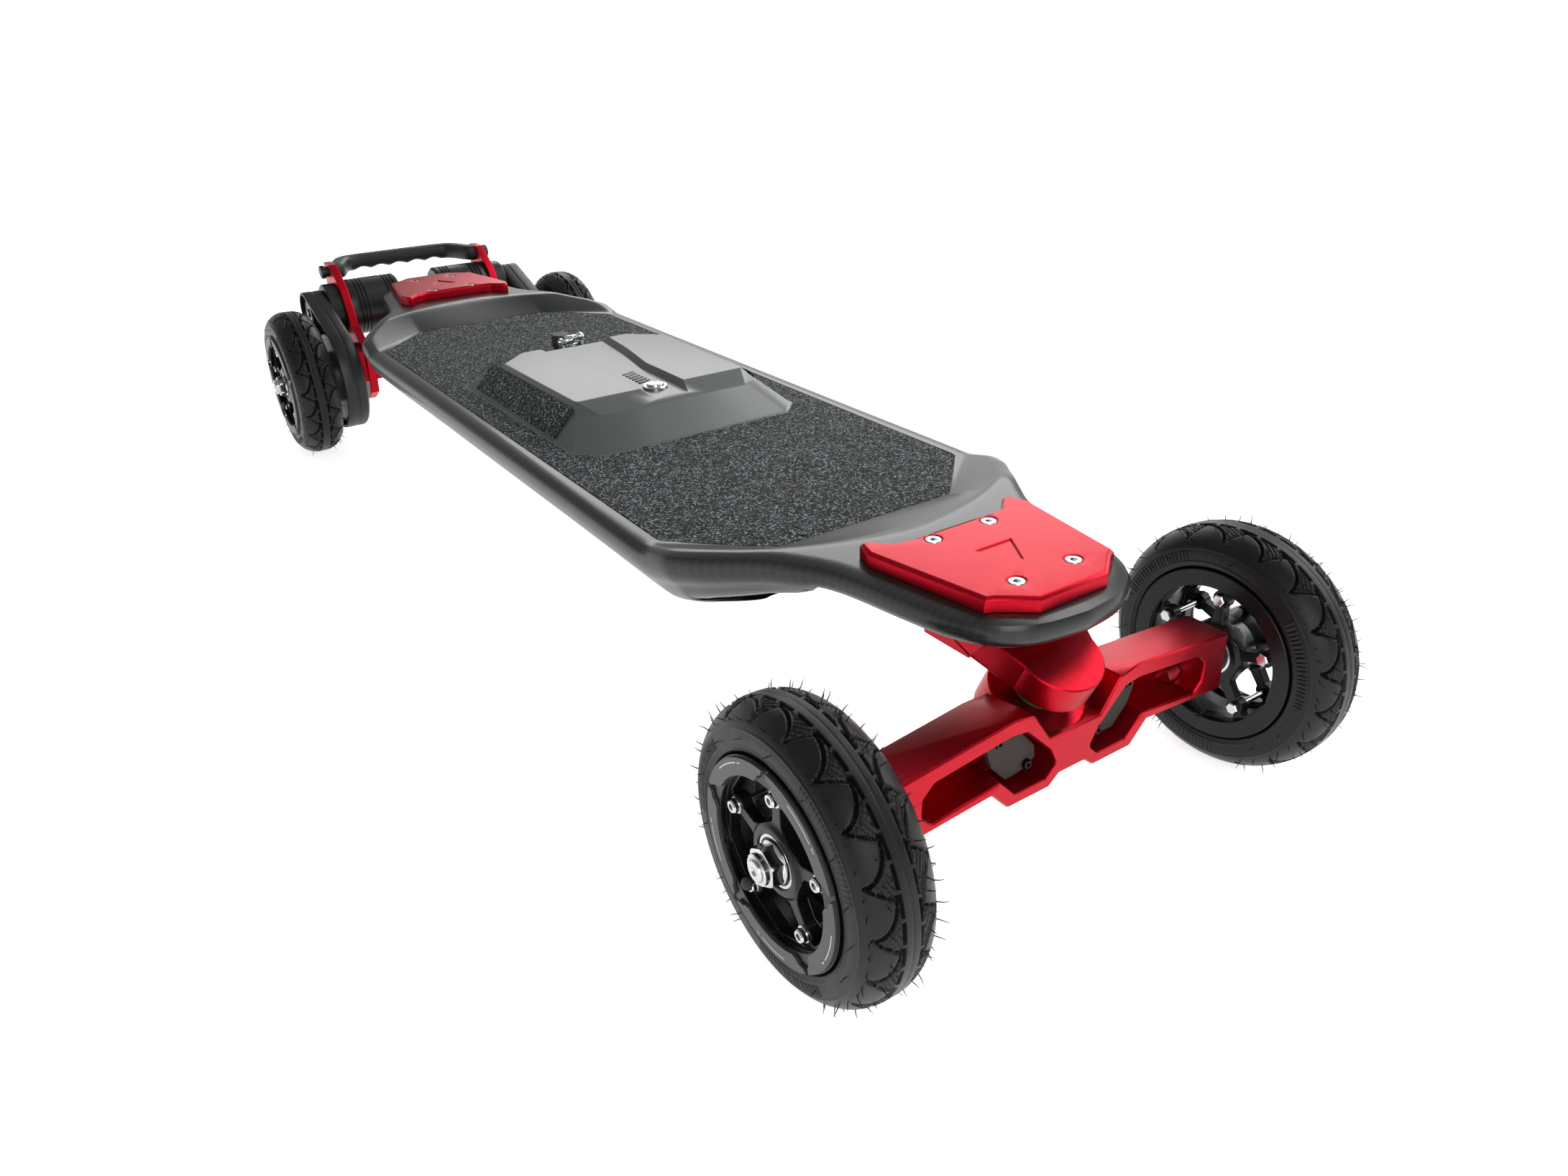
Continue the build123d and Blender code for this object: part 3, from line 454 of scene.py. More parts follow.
def hump_mesh(work):
    lip = hump_base + 1.2
    rings = [
        hump_ring(124, 79, 105, 98.5, -112, 100, -135, 67, hump_base),
        hump_ring(124, 79, 105, 98.5, -112, 100, -135, 67, lip),
        hump_ring(120, 77, 102, 95.5, -110, 97, -131, 65.5, lip + 0.8),
        hump_ring(89, 65, 77.5, 80.5, -81, 82.5, -105.5, 53.5, hump_top - 8.2),
        hump_ring(87, 64, 76, 79, -80, 81, -104, 53, hump_top - 7.2),
        hump_ring(67.5, 72.5, 64, 75, -70, 77, -94, 50.5, hump_top - 0.6),
        hump_ring(65.5, 71, 62.5, 73, -69, 75, -92.5, 49.8, hump_top),
    ]
    both_sides(work, rings)
    bmesh.ops.remove_doubles(work, verts=work.verts, dist=0.01)
    bmesh.ops.holes_fill(work, edges=[e for e in work.edges if e.is_boundary], sides=0)


# The same twill as the deck, painted a paler, more even grey: a painted sheen for the light that the hump's
# faces catch.
hump_carbon = carbon("satin_carbon_hump_painted_sheen", "#474c4a", "#4b504d", 0.34)


def solid_slab(outline, low, high, taper):
    """A closed prism as an object of its own, for cutting; its top is wider by the taper."""
    work = bmesh.new()
    bottom = [work.verts.new((x * MM, y * MM, low * MM)) for x, y in outline]
    top = []
    for x, y in outline:
        side = math.copysign(taper, y) if abs(y) > 1e-6 else 0.0
        top.append(work.verts.new((x * MM, (y + side) * MM, high * MM)))
    work.faces.new(bottom[::-1])
    work.faces.new(top)
    for i in range(len(outline)):
        j = (i + 1) % len(outline)
        work.faces.new([bottom[i], bottom[j], top[j], top[i]])
    bmesh.ops.recalc_face_normals(work, faces=work.faces)
    mesh = bpy.data.meshes.new("cutter")
    work.to_mesh(mesh)
    work.free()
    made = bpy.data.objects.new("cutter", mesh)
    bpy.context.scene.collection.objects.link(made)
    return made


def settle(piece, *modifiers):
    """Apply the modifiers that are given as (type, settings), in order."""
    for kind, settings in modifiers:
        step = piece.modifiers.new(kind.lower(), kind)
        for key, value in settings.items():
            setattr(step, key, value)
    bpy.context.view_layer.update()
    done = bpy.data.meshes.new_from_object(piece.evaluated_get(bpy.context.evaluated_depsgraph_get()))
    piece.modifiers.clear()
    piece.data = done
    return piece


def edge_round(piece, width, steps=2, angle=25, sharp=35, clamp=True):
    """Break the sharp edges, as deburring or a mould's radius does, and keep the faces flat."""
    settle(piece, ("BEVEL", {"width": width * MM, "segments": steps, "limit_method": "ANGLE",
                             "angle_limit": math.radians(angle), "use_clamp_overlap": clamp,
                             "loop_slide": clamp}))
    piece.data.polygons.foreach_set("use_smooth", [True] * len(piece.data.polygons))
    piece.data.set_sharp_from_angle(angle=math.radians(sharp))
    return settle(piece, ("WEIGHTED_NORMAL", {"keep_sharp": True, "weight": 80}))


hump = new_piece("hump_moulding", mesh_from(hump_mesh), "deck", hump_carbon, "hump_carbon", "hump_cover")
channel_cut = channel_points + [(x, -y) for x, y in reversed(channel_points)]
cutter = solid_slab(channel_cut, channel_floor, hump_top + 6, taper=9.0)
settle(hump, ("BOOLEAN", {"object": cutter, "operation": "DIFFERENCE", "solver": "EXACT"}))
bpy.data.objects.remove(cutter)
edge_round(hump, 1.6, 3, 20, 32)


def side_pad_mesh(work):
    """The two strips of grip sheet on the hump's flanks: the smaller islands of the sheet's node."""
    work.from_mesh(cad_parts["grip_tape"].data)
    bmesh.ops.remove_doubles(work, verts=work.verts, dist=1e-6)
    spans = sorted(islands("grip_tape"), key=lambda part: part[2].x - part[1].x)
    slack = 0.05

    def inside(point, low, high):
        return all(low[i] - slack <= point[i] / MM <= high[i] + slack for i in range(3))

    gone = [v for v in work.verts if not any(inside(v.co, low, high) for middle, low, high in spans[:-1])]
    bmesh.ops.delete(work, geom=gone, context="VERTS")
    bmesh.ops.triangulate(work, faces=work.faces)
    bmesh.ops.scale(work, vec=(1 / MM, 1 / MM, 1 / MM), verts=work.verts)


new_piece("hump_side_pads", mesh_from(side_pad_mesh), "deck", grip_grit, "grip")

# ---------------- button, charge lights and latch ----------------
# A polished steel push button stands in a thin bezel at the front of the channel. Behind it six slanting
# slots show the charge, and a chromed over-centre latch with a black knob holds the hump's tail.
bezel_low, bezel_high = box("button_bezel")
button_low, button_high = box("power_button")
button_x = (bezel_low.x + bezel_high.x) / 2


def bezel_mesh(work):
    outer = (bezel_high.x - bezel_low.x) / 2
    inner = (button_high.x - button_low.x) / 2 + 0.15
    top = channel_floor + 1.7
    profile = [(outer, channel_floor - 1), (outer, top - 0.7), (outer - 0.8, top), (inner + 0.5, top)]
    profile += [(inner, top - 0.5), (inner, top - 6)]
    lathe(work, profile, (button_x, 0, 0), steps=48)


def button_mesh(work):
    radius = (button_high.x - button_low.x) / 2
    top = button_high.z
    profile = [(radius, button_low.z), (radius, top - 0.8), (radius - 0.3, top - 0.25)]
    profile += [(radius - 1, top), (radius * 0.62, top - 0.05), (radius * 0.58, top - 0.4)]
    profile += [(radius * 0.5, top - 0.4), (radius * 0.46, top - 0.05), (0.0, top + 0.1)]
    lathe(work, profile, (button_x, 0, 0), steps=48)


# Turned stainless steel: bright, with fine rings left by the tool that stretch each highlight.
def turned_steel(name, dark, bright, rough):
    return mottled(name, dark, bright, 90.0, 4.0, (rough * 0.7, rough * 1.5), bump=(0.06, 0.2), Metallic=1.0)


bright_steel = turned_steel("polished_stainless", "#a9abae", "#e6e6e8", 0.16)
chrome = turned_steel("chrome_plate", "#c9cbce", "#f2f3f5", 0.08)
new_piece("button_bezel_ring", mesh_from(bezel_mesh), "deck", bright_steel, "bright_steel", "button_bezel")
new_piece("push_button_cap", mesh_from(button_mesh), "power_button", bright_steel, "bright_steel",
          "power_button")

# Smoked acrylic: nearly black when the lights are off, and smooth enough to mirror the room.
lens = mottled("smoked_acrylic", "#08090a", "#17191b", 60.0, Roughness=0.12, Specular_IOR_Level=0.6)


def lens_mesh(work):
    """Slanting slots with round ends, each filled by a lens that stands a little proud."""
    slant = Matrix.Rotation(math.radians(18), 3, "Z")
    end_radius, half_length = 1.15, 5.2
    outline = []
    for i in range(24):
        a = math.tau * i / 24
        end = half_length * math.copysign(1, math.sin(a) or 1)
        outline.append((end_radius * math.cos(a), end + end_radius * math.sin(a)))
    for middle, low, high in islands("charge_level_bars"):
        rows = []
        for inset, z in ((1.0, -2.0), (1.0, 0.25), (0.8, 0.42), (0.0, 0.42)):
            ring = [slant @ Vector((x * inset, y * (0.8 + 0.2 * inset), 0)) for x, y in outline + outline[:1]]
            rows.append([(middle.x + p.x, middle.y + p.y, channel_floor + z) for p in ring])
        skin(work, rows)


new_piece("charge_light_bars", mesh_from(lens_mesh), "deck", lens, "led_lens", "charge_level_bars")


def slab(work, outline, low, high):
    """A flat plate with an outline in (x, z), standing between two values of y."""
    rows = [[(x, y, z) for x, z in outline + outline[:1]] for y in (low, high)]
    skin(work, rows)
    for row in rows:
        work.faces.new([work.verts.new(p) for p in row[:-1]])


def latch_base_mesh(work):
    """A foot plate with two ears that carry the lever's pin."""
    low, high = box("latch_base")
    lever_low, lever_high = box("latch_lever")
    axis_x = high.x - 10.0
    y = (lever_low.y + lever_high.y) / 2
    foot = low.z
    ear = [(axis_x - 6, foot), (axis_x + 7, foot), (axis_x + 5, foot + 10), (axis_x + 2, foot + 17)]
    ear += [(axis_x - 2, foot + 17), (axis_x - 5, foot + 10)]
    slab(work, ear, y - 10.9, y - 8.1)
    slab(work, ear, y + 8.1, y + 10.9)
    plate = [(axis_x - 10, foot), (axis_x + 9, foot), (axis_x + 9, foot + 2.4), (axis_x - 10, foot + 2.4)]
    slab(work, plate, y - 13, y + 13)


def latch_knob_mesh(work):
    """A fluted thumb knob on a plain neck."""
    low, high = box("latch_base")
    radius, flutes = 9.0, 20
    foot, top = low.z, low.z + 16
    column = [(0, foot), (7.5, foot), (7.5, foot + 3), (radius, foot + 4)]
    column += [(radius, top - 1.5), (8, top - 0.2), (5, top), (0, top)]

    def profile(angle):
        flute = 0.45 * (0.5 + 0.5 * math.cos(flutes * angle)) ** 0.5
        return [(r - flute if r == radius else r, z) for r, z in column]

    lathe(work, profile, (low.x + radius, (low.y + high.y) / 2, 0), steps=80)


def latch_lever_mesh(work):
    """A pin with a boss, and a turned arm that ends in a ball."""
    low, high = box("latch_lever")
    y = (low.y + high.y) / 2
    pin = Vector((low.x + 5, y, low.z + 5))
    end = Vector((high.x - 4, y, high.z - 4))
    lathe(work, [(0, -13), (1.6, -13), (2, -12.4), (2, 12.4), (1.6, 13), (0, 13)], pin, SIDEWAYS, 20)
    lathe(work, [(2, -6.5), (4.6, -6.5), (5, -6), (5, 6), (4.6, 6.5), (2, 6.5)], pin, SIDEWAYS, 28)
    length, ball = (end - pin).length, 3.9
    arm = [(1.9, 2), (1.9, length * 0.4), (2.4, length * 0.45), (2.4, length * 0.6), (1.7, length * 0.65)]
    arm.append((1.7, length - 3.4))
    arm += [(ball * math.sin(t), length - ball * math.cos(t)) for t in np.linspace(0.45, math.pi, 9)]
    lathe(work, arm, pin, end - pin, 24)


# Glass-filled nylon: dull black, with the faint mottling of a spark-eroded mould.
def moulded_black(name, dark, pale, rough, grain_mm):
    return mottled(name, dark, pale, 14.0, rough=(rough - 0.07, rough + 0.1), pits=(250 / grain_mm, 3.0),
                   bump=(0.22, 0.3), Specular_IOR_Level=0.45)


black_nylon = moulded_black("black_nylon", "#101112", "#1d1e20", 0.5, 1.0)
new_piece("latch_bracket", mesh_from(latch_base_mesh), "deck", chrome, "chrome", "latch_base", smooth=30)
new_piece("latch_knob_grip", mesh_from(latch_knob_mesh), "deck", black_nylon, "guard_plastic")
new_piece("latch_lever_arm", mesh_from(latch_lever_mesh), "latch_lever", chrome, "chrome", "latch_lever")

# ---------------- trucks ----------------
# Hanger, base, clamp plates and motor arms are milled from aluminium plate, bead blasted, and anodised
# red. Each keeps its milled shape, with the sharp edges broken by a half-millimetre chamfer.
def milled(name, source, body, finish, slot, width=0.55, steps=1):
    """A piece with a CAD node's own faces, its sharp edges broken."""
    work = bmesh.new()
    work.from_mesh(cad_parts[source].data)
    bmesh.ops.remove_doubles(work, verts=work.verts, dist=2e-6)
    bmesh.ops.dissolve_degenerate(work, dist=2e-6, edges=work.edges)
    mesh = bpy.data.meshes.new(name)
    work.to_mesh(mesh)
    work.free()
    made = new_piece(name, mesh, body, finish, slot, source)
    return edge_round(made, width, steps, 28, 24, clamp=False)


# Bead-blasted red anodise: the dye tints the metal itself, so highlights stay red, and the blasting
# leaves a satin surface that spreads them wide. Its pits are about 0.1 mm across.
anodised = mottled("red_anodised_aluminium", "#a3081b", "#c01228", 11.0, Metallic=0.93)
blast_pits = node(anodised, "TexNoise", {"Scale": 2400.0, "Detail": 2.0}).outputs[0]
blast_matt = node(anodised, "MapRange", {0: blast_pits, 3: 0.30, 4: 0.42})
blast_bump = node(anodised, "Bump", {"Strength": 0.10, "Distance": 0.1 * MM, "Height": blast_pits})
feed(anodised, Roughness=blast_matt.outputs[0], Normal=blast_bump.outputs[0])

# Printed nylon: grey-brown and dull, with the fine slanting layer lines of a filament printer.
printed = material("printed_nylon", Roughness=0.8, Specular_IOR_Level=0.3)
printed_wave = node(printed, "TexWave", {"Scale": 390.0, "Distortion": 1.5, "Detail": 1.0},
                    bands_direction="DIAGONAL")
printed_tone = node(printed, "Mix", {0: printed_wave.outputs[0], 6: linear("#2d2926"), 7: linear("#4a4541")},
                    data_type="RGBA")
printed_bump = node(printed, "Bump", {"Strength": 0.4, "Distance": 0.0002, "Height": printed_wave.outputs[0]})
feed(printed, Base_Color=printed_tone.outputs[2], Normal=printed_bump.outputs[0])

# Cast polyurethane: green right through, slightly waxy.
urethane = mottled("green_urethane", "#0f6a3c", "#1c8a50", 40.0, Roughness=0.35, Subsurface_Weight=0.15,
                   Subsurface_Scale=0.003)


def repaint(source, finish):
    """Give a CAD node that stays in view its finish."""
    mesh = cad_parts[source].data
    if not mesh.materials:
        mesh.materials.append(finish)
    for i in range(len(mesh.materials)):
        mesh.materials[i] = finish


zinc_steel = turned_steel("zinc_plated_steel", "#8d8f92", "#c4c5c8", 0.24)
bronze = turned_steel("sintered_bronze", "#7c5a2c", "#a8803f", 0.35)


def clamp_screw_mesh(work, end):
    """Countersunk screws: a flat head in its cone, a hexagon socket, and a shank down to the nut."""
    head = box(end + "_clamp_plate")[1].z - 2.5
    for middle, low, high in islands(end + "_truck_bolts"):
        socket_head(work, (middle.x, middle.y, head), 4.9, 2.2, UP, across=0.5, domed=0.5)
        lathe(work, [(0, low.z), (2.2, low.z), (2.5, low.z + 0.4), (2.5, head)], (middle.x, middle.y, 0))


def cover_screw_mesh(work, end):
    """Cap screws that hold the window covers, their heads looking away from the board."""
    out, head = (1 if end == "front" else -1), 2.5
    for middle, low, high in islands(end + "_window_screws"):
        face = high.x if out > 0 else low.x
        socket_head(work, (face - out * head, middle.y, middle.z), 2.8, head, (out, 0, 0))


for end in ("front", "rear"):
    truck = end + "_truck"
    milled(end + "_clamp_plate_milled", end + "_clamp_plate", "deck", anodised, "red_anodised", 0.5)
    milled(end + "_base_milled", end + "_truck_base", "deck", anodised, "red_anodised", 0.8)
    milled(end + "_hanger_milled", end + "_hanger", truck, anodised, "red_anodised", 0.9)
    milled(end + "_window_covers", end + "_window_plates", truck, printed, "printed_plate", 0.4)
    screws = mesh_from(clamp_screw_mesh, end)
    new_piece(end + "_clamp_screws", screws, "deck", bright_steel, "screw_steel", end + "_truck_bolts")
    heads = mesh_from(cover_screw_mesh, end)
    new_piece(end + "_cover_screws", heads, truck, black_oxide, "black_screw", end + "_window_screws")
    repaint(end + "_bushings", urethane)
    repaint(end + "_kingpin", zinc_steel)
    repaint(end + "_pivot_bush", bronze)
    repaint(end + "_axles", zinc_steel)

# ---------------- wheels ----------------
# Each wheel is a split aluminium rim, bolted together through five spokes, with an air tyre. The
# tyre's shoulders carry scale-shaped cuts. Two ball bearings turn on the axle, held by a flanged lock nut.
# Everything is drawn once about its own axle, with +Y outwards.
tyre_low, tyre_high = box("front_left_tyre")
rim_low, rim_high = box("front_left_rim")
tyre_radius = (tyre_high.z - tyre_low.z) / 2
tyre_half = (tyre_high.y - tyre_low.y) / 2
rim_radius = (rim_high.z - rim_low.z) / 2
rim_half = (rim_high.y - rim_low.y) / 2
tread_pitches = 18
tread_edge = 20.5
spoke_turn, spoke_pitch = 90, 72

half_section = [
    (tyre_radius, 0), (tyre_radius - 0.05, 4), (tyre_radius - 0.7, 8), (tyre_radius - 2.6, 13),
    (tyre_radius - 6.2, 17.8), (tyre_radius - 11, tyre_half - 0.9), (rim_radius + 6, tyre_half),
    (rim_radius + 1.8, tyre_half - 0.6), (rim_radius + 0.6, tyre_half - 2),
    (rim_radius - 1.5, tyre_half - 4.4),
]


def groove(away, half_width, depth):
    """Depth of a moulded groove with sloping sides, at a distance from its middle."""
    return depth * np.clip(1.3 - np.abs(away) / half_width, 0, 1)


def scale_cuts(along, out, phase):
    """Depth of the shoulder cuts, at a distance along the tread and out from its middle."""
    pitch = math.tau * tyre_radius / tread_pitches
    long, tall, root = pitch * 0.78, 13.8, 6.4
    here = (along + phase * pitch) % pitch
    depth = np.zeros_like(along)
    knurl = np.zeros_like(along)
    for c in (here, here + pitch):
        # the scale's edge is a quarter of an ellipse, with a finer line inside it
        u, v = c / long, (root + tall - out) / tall
        ring = np.sqrt(u ** 2 + v ** 2) + 1e-6
        slope = np.sqrt((u / long) ** 2 + (v / tall) ** 2) / ring
        away = (ring - 1) / slope
        on_arc = (c <= long) & (out >= root - 0.5) & (out <= root + tall)
        depth = np.maximum(depth, np.where(on_arc, groove(away, 0.85, 2.2), 0))
        depth = np.maximum(depth, np.where(on_arc, groove(away - 2.2, 0.45, 0.7), 0))
        # a dashed cut runs from its outer end down to the next scale's root
        start, end = np.array([long, root + tall]), np.array([pitch + 2.5, root + 0.8])
        run = end - start
        t = np.clip(((c - start[0]) * run[0] + (out - start[1]) * run[1]) / (run @ run), 0, 1)
        gap = np.hypot(c - start[0] - t * run[0], out - start[1] - t * run[1])
        depth = np.maximum(depth, np.where((t % 0.36) > 0.05, groove(gap, 0.7, 1.8), 0))
        side = (c - start[0]) * run[1] - (out - start[1]) * run[0]
        patch = (away > 1.4) & (side > 6) & (out > root) & (out < root + tall - 0.5) & (c < pitch + 3)
        knurl = np.maximum(knurl, patch * 1.0)
    return depth, knurl


def tyre_mesh(work):
    half = smooth_line([Vector((r, y)) for r, y in half_section], 74)
    section = [Vector((p.x, -p.y)) for p in reversed(half[1:])] + half
    runs = running_lengths(section)
    out = np.array(runs) - runs[len(half) - 1]
    around = 648
    turn = np.linspace(0, math.tau, around, endpoint=False)
    angle, across = np.meshgrid(turn, out, indexing="ij")
    along = angle * tyre_radius
    sunk = np.zeros_like(along)
    for sign, phase in ((1, 0.0), (-1, 0.5)):
        depth, knurl = scale_cuts(sign * along, np.maximum(sign * across, 0), phase)
        lines = 0.3 * (1 + np.sign(np.sin(math.tau * (along * 0.5 + sign * across) / 2.4))) * knurl
        mask = (sign * across > 6) & (sign * across < tread_edge)
        sunk += np.where(mask, np.maximum(depth, lines), 0)
        dash = ((along + sign * 3) % 13.6) > 2.4
        sunk += dash * groove(sign * across - 4.9, 0.75, 2.2)
    sunk += 0.25 * np.clip(1.2 - np.abs(across) / 0.35, 0, 1)
    # moulded rings and fine radial ribs on the side walls
    radii = np.array([p.x for p in section])
    wall = np.abs(out) > tread_edge
    rings = -0.45 * np.clip(1.5 - np.abs(radii - rim_radius - 4.2) / 0.6, 0, 1)
    rings -= 0.35 * np.clip(1.5 - np.abs(radii - rim_radius - 12.6) / 0.5, 0, 1)
    sunk += np.where(wall, rings, 0)[None, :]
    band = wall & (radii > rim_radius + 5.6) & (radii < rim_radius + 10.8)
    ribs = -0.22 * (1 + np.sign(np.sin(angle * 150))) * (np.sin(angle * 3 + 0.7) > 0.25)
    sunk += np.where(band[None, :], ribs, 0)
    points = []
    for i, p in enumerate(section):
        a, b = section[max(i - 1, 0)], section[min(i + 1, len(section) - 1)]
        d = (b - a).normalized()
        points.append((p, Vector((d.y, -d.x))))
    rows = []
    for i in range(around):
        c, s = math.cos(turn[i]), math.sin(turn[i])
        row = []
        for (p, outward), deep in zip(points, sunk[i]):
            r, y = p.x - outward.x * deep, p.y - outward.y * deep
            row.append((r * c, y, r * s))
        inner = [(rim_radius - 4, tyre_half - 7), (rim_radius + 4, 0), (rim_radius - 4, 7 - tyre_half)]
        row += [(r * c, y, r * s) for r, y in inner]
        row.append(row[0])
        rows.append(row)
    skin(work, rows, closed=True)


def ring_point(radius, angle, y=0.0):
    """A point about the axle, at a place along it."""
    return Vector((radius * math.cos(angle), y, radius * math.sin(angle)))


def hair_mesh(work):
    """Fine rubber hairs left by the mould's vents, in three rows on each side."""
    rng = random.Random(5)
    rings = [(11, tyre_radius - 1.4, 0.15, 40), (19, tyre_radius - 7, 0.6, 44)]
    rings.append((21.6, rim_radius + 8, 1.3, 16))
    for side, (y, r, lean, count) in ((s, ring) for s in (-1, 1) for ring in rings):
        for i in range(count):
            a = math.tau * (i + rng.random() * 0.8) / count
            length = rng.uniform(2.2, 5.6)
            if math.sin(a) < -0.93:
                continue
            radial = ring_point(1, a)
            base = radial * r + Vector((0, side * y, 0))
            aim = radial * math.cos(lean) + Vector((0, side * math.sin(lean), 0))
            aim = (aim + Vector([rng.uniform(-0.3, 0.3) for _ in range(3)])).normalized()
            bend = Vector([rng.uniform(-0.8, 0.8) for _ in range(3)])
            u = aim.orthogonal().normalized()
            v = aim.cross(u)
            middle, tip = base + aim * length * 0.5 + bend * 0.4, base + aim * length + bend * 1.3
            rows = []
            for k in range(5):
                t = math.tau * k / 5
                way = u * math.cos(t) + v * math.sin(t)
                rows.append([base - aim + way * 0.34, middle + way * 0.24, tip + way * 0.12, tip])
            skin(work, rows, closed=True)


# Moulded tyre rubber: black with a faint grey bloom, and a satin gloss that comes and goes.
rubber = mottled("moulded_tyre_rubber", "#070808", "#141618", 28.0, 3.0, (0.28, 0.48), pits=(900.0, 2.0),
                 bump=(0.18, 0.3), Specular_IOR_Level=0.26)


def flange_mesh(work):
    """Five raised segments on the outer flange, with stepped ends that leave a dark notch between them."""
    top = rim_half + 1.6
    ends = [(53.2, 1.6), (50.4, 2.6), (48.6, 6.4), (46.6, 7.4), (44.4, 11.0)]
    for k in range(5):
        rows = []
        for i in range(25):
            row = []
            for r, inset in ends:
                a = math.radians(spoke_turn + spoke_pitch * k + inset + (spoke_pitch - 2 * inset) * i / 24)
                row.append(ring_point(r, a, top))
            rows.append(row)
        skin(work, rows)
        rim_line = [row[0] for row in rows] + rows[-1][1:]
        rim_line += [row[-1] for row in reversed(rows)][1:] + rows[0][::-1][1:]
        skin(work, [[(p.x, y, p.z) for p in rim_line] for y in (rim_half - 0.6, top)])


def dash_mesh(work):
    """Plain printed dashes, one long and one short, where a maker would print on the flange."""
    for k in range(5):
        for begin, length in ((22, 22), (46, 3)):
            rows = []
            for i in range(13):
                a = math.radians(spoke_turn + spoke_pitch * k + begin + length * i / 12)
                rows.append([ring_point(r, a, rim_half + 1.64) for r in (50.9, 50.3)])
            skin(work, rows)


def valve_mesh(work):
    """Moulded rubber valve stem with its ribbed cap, leaning out through one window."""
    angle, cap, ribs = math.radians(-52), 3.6, 12
    stem = [(4.2, 0), (4.0, 2), (2.9, 3.5), (2.9, 5), (cap, 5.3), (cap, 11), (3.2, 12), (1.9, 12.6)]
    stem.append((0, 12.8))

    def profile(angle_about):
        rib = 0.3 if (angle_about * ribs / math.tau + 1e-6) % 1 < 0.5 else 0
        return [(r - rib if r == cap else r, h) for r, h in stem]

    lathe(work, profile, ring_point(40.5, angle, 12.5), ring_point(-0.50, angle, 0.87), 48)


def bolt_mesh(work):
    """Socket screws through the spokes, each with a washer under its head and a nut on the far side."""
    bolt_ring, face = 36.0, rim_half - 4.5
    for k in range(5):
        spot = ring_point(bolt_ring, math.radians(spoke_turn + spoke_pitch * k))
        lathe(work, [(0, face), (4.4, face), (4.4, face + 0.7), (0, face + 0.7)], spot, SIDEWAYS, 24)
        socket_head(work, spot + Vector((0, face + 0.7, 0)), 3.6, 3.0, SIDEWAYS, across=0.58)
        lathe(work, [(1.9, -face - 2), (1.9, face)], spot, SIDEWAYS, 16)
        nut = [(0, -face - 3), (3.4, -face - 3), (4.0, -face - 2.4), (4.0, -face), (0, -face)]
        lathe(work, nut, spot, SIDEWAYS, 6)


def lathe_pair(work, profile, centre=(0, 0, 0), steps=56):
    """The same turned shape on both sides of the middle plane."""
    for side in (-1, 1):
        lathe(work, [(r, side * h) for r, h in profile], centre, SIDEWAYS, steps)


def bearing_mesh(work):
    """Races, with the balls hidden behind a pressed seal."""
    lathe_pair(work, [(14, 11), (14, 18.6), (13.6, 19), (12.2, 19), (12.0, 18.5)])
    lathe_pair(work, [(8.6, 18.5), (8.4, 19), (6.4, 19), (6.1, 18.6), (6.1, 11)], steps=48)


def seal_mesh(work):
    lathe_pair(work, [(12.1, 18.45), (11.2, 18.7), (9.6, 18.7), (8.5, 18.45)])


def nut_mesh(work):
    """Flanged lock nut with its nylon collar."""
    base, across = 19.2, 9.5
    top = base + 9.0
    flange = [(6, base), (11, base), (11, base + 0.9), (9.6, base + 2.0), (6, base + 2.0)]
    collar = [(across * 0.86, top - 0.9), (across * 0.84, top + 1.2), (across * 0.76, top + 1.8)]
    collar += [(6.1, top + 1.8), (6.1, top)]

    def profile(angle):
        flat = hexagon(angle, across)
        return [(flat, base + 1.6), (flat, top - 2.6), (min(flat, across * 1.075), top - 1.4)] + collar

    lathe(work, flange, axis=SIDEWAYS, steps=56)
    lathe(work, profile, axis=SIDEWAYS, steps=72)


def axle_end_mesh(work):
    """The threaded end of the axle, with its turning centre."""
    end = 31.0
    profile = [(5.6, 26), (5.9, 26.4)]
    profile += [(5.9 - 0.35 * (k % 2), 27 + 0.35 * k) for k in range(10)]
    profile += [(5.3, end), (2.4, end + 0.2), (1.6, end - 0.8), (0, end - 1.0)]
    lathe(work, profile, axis=SIDEWAYS, steps=40)


# Hard-anodised black aluminium: darker and glossier than the nylon, with a faint metal sheen.
black_anodised = mottled("black_anodised_aluminium", "#17181a", "#26282a", 35.0, 3.0, (0.22, 0.36),
                         Metallic=0.7)

# The flange segments are bead blasted before they are dyed, so they are a matt charcoal.
flange_black = moulded_black("blasted_black_flange", "#303233", "#434547", 0.38, 0.6)
pale_ink = moulded_black("pale_printing_ink", "#b9bbbc", "#d6d8d9", 0.6, 0.8)
seal_rubber = moulded_black("bearing_seal_rubber", "#0c0c0d", "#18191a", 0.45, 0.5)

wheel_parts = [
    ("tyre_casing", mesh_from(tyre_mesh), rubber, "tyre", "tyre", 50),
    ("tyre_hairs", mesh_from(hair_mesh), rubber, "tyre", None, 60),
    ("flange_segments", mesh_from(flange_mesh), flange_black, "rim_black", None, 30),
    ("flange_dashes", mesh_from(dash_mesh), pale_ink, "rim_black", None, 30),
    ("valve_stem", mesh_from(valve_mesh), seal_rubber, "tyre", None, 40),
    ("rim_bolts", mesh_from(bolt_mesh), bright_steel, "screw_steel", "wheel_bolts", 30),
    ("bearing_races", mesh_from(bearing_mesh), bright_steel, "bright_steel", "bearings", 35),
    ("bearing_seals", mesh_from(seal_mesh), seal_rubber, "bright_steel", None, 35),
]
nut_meshes = [("lock_nut", mesh_from(nut_mesh)), ("axle_end", mesh_from(axle_end_mesh))]
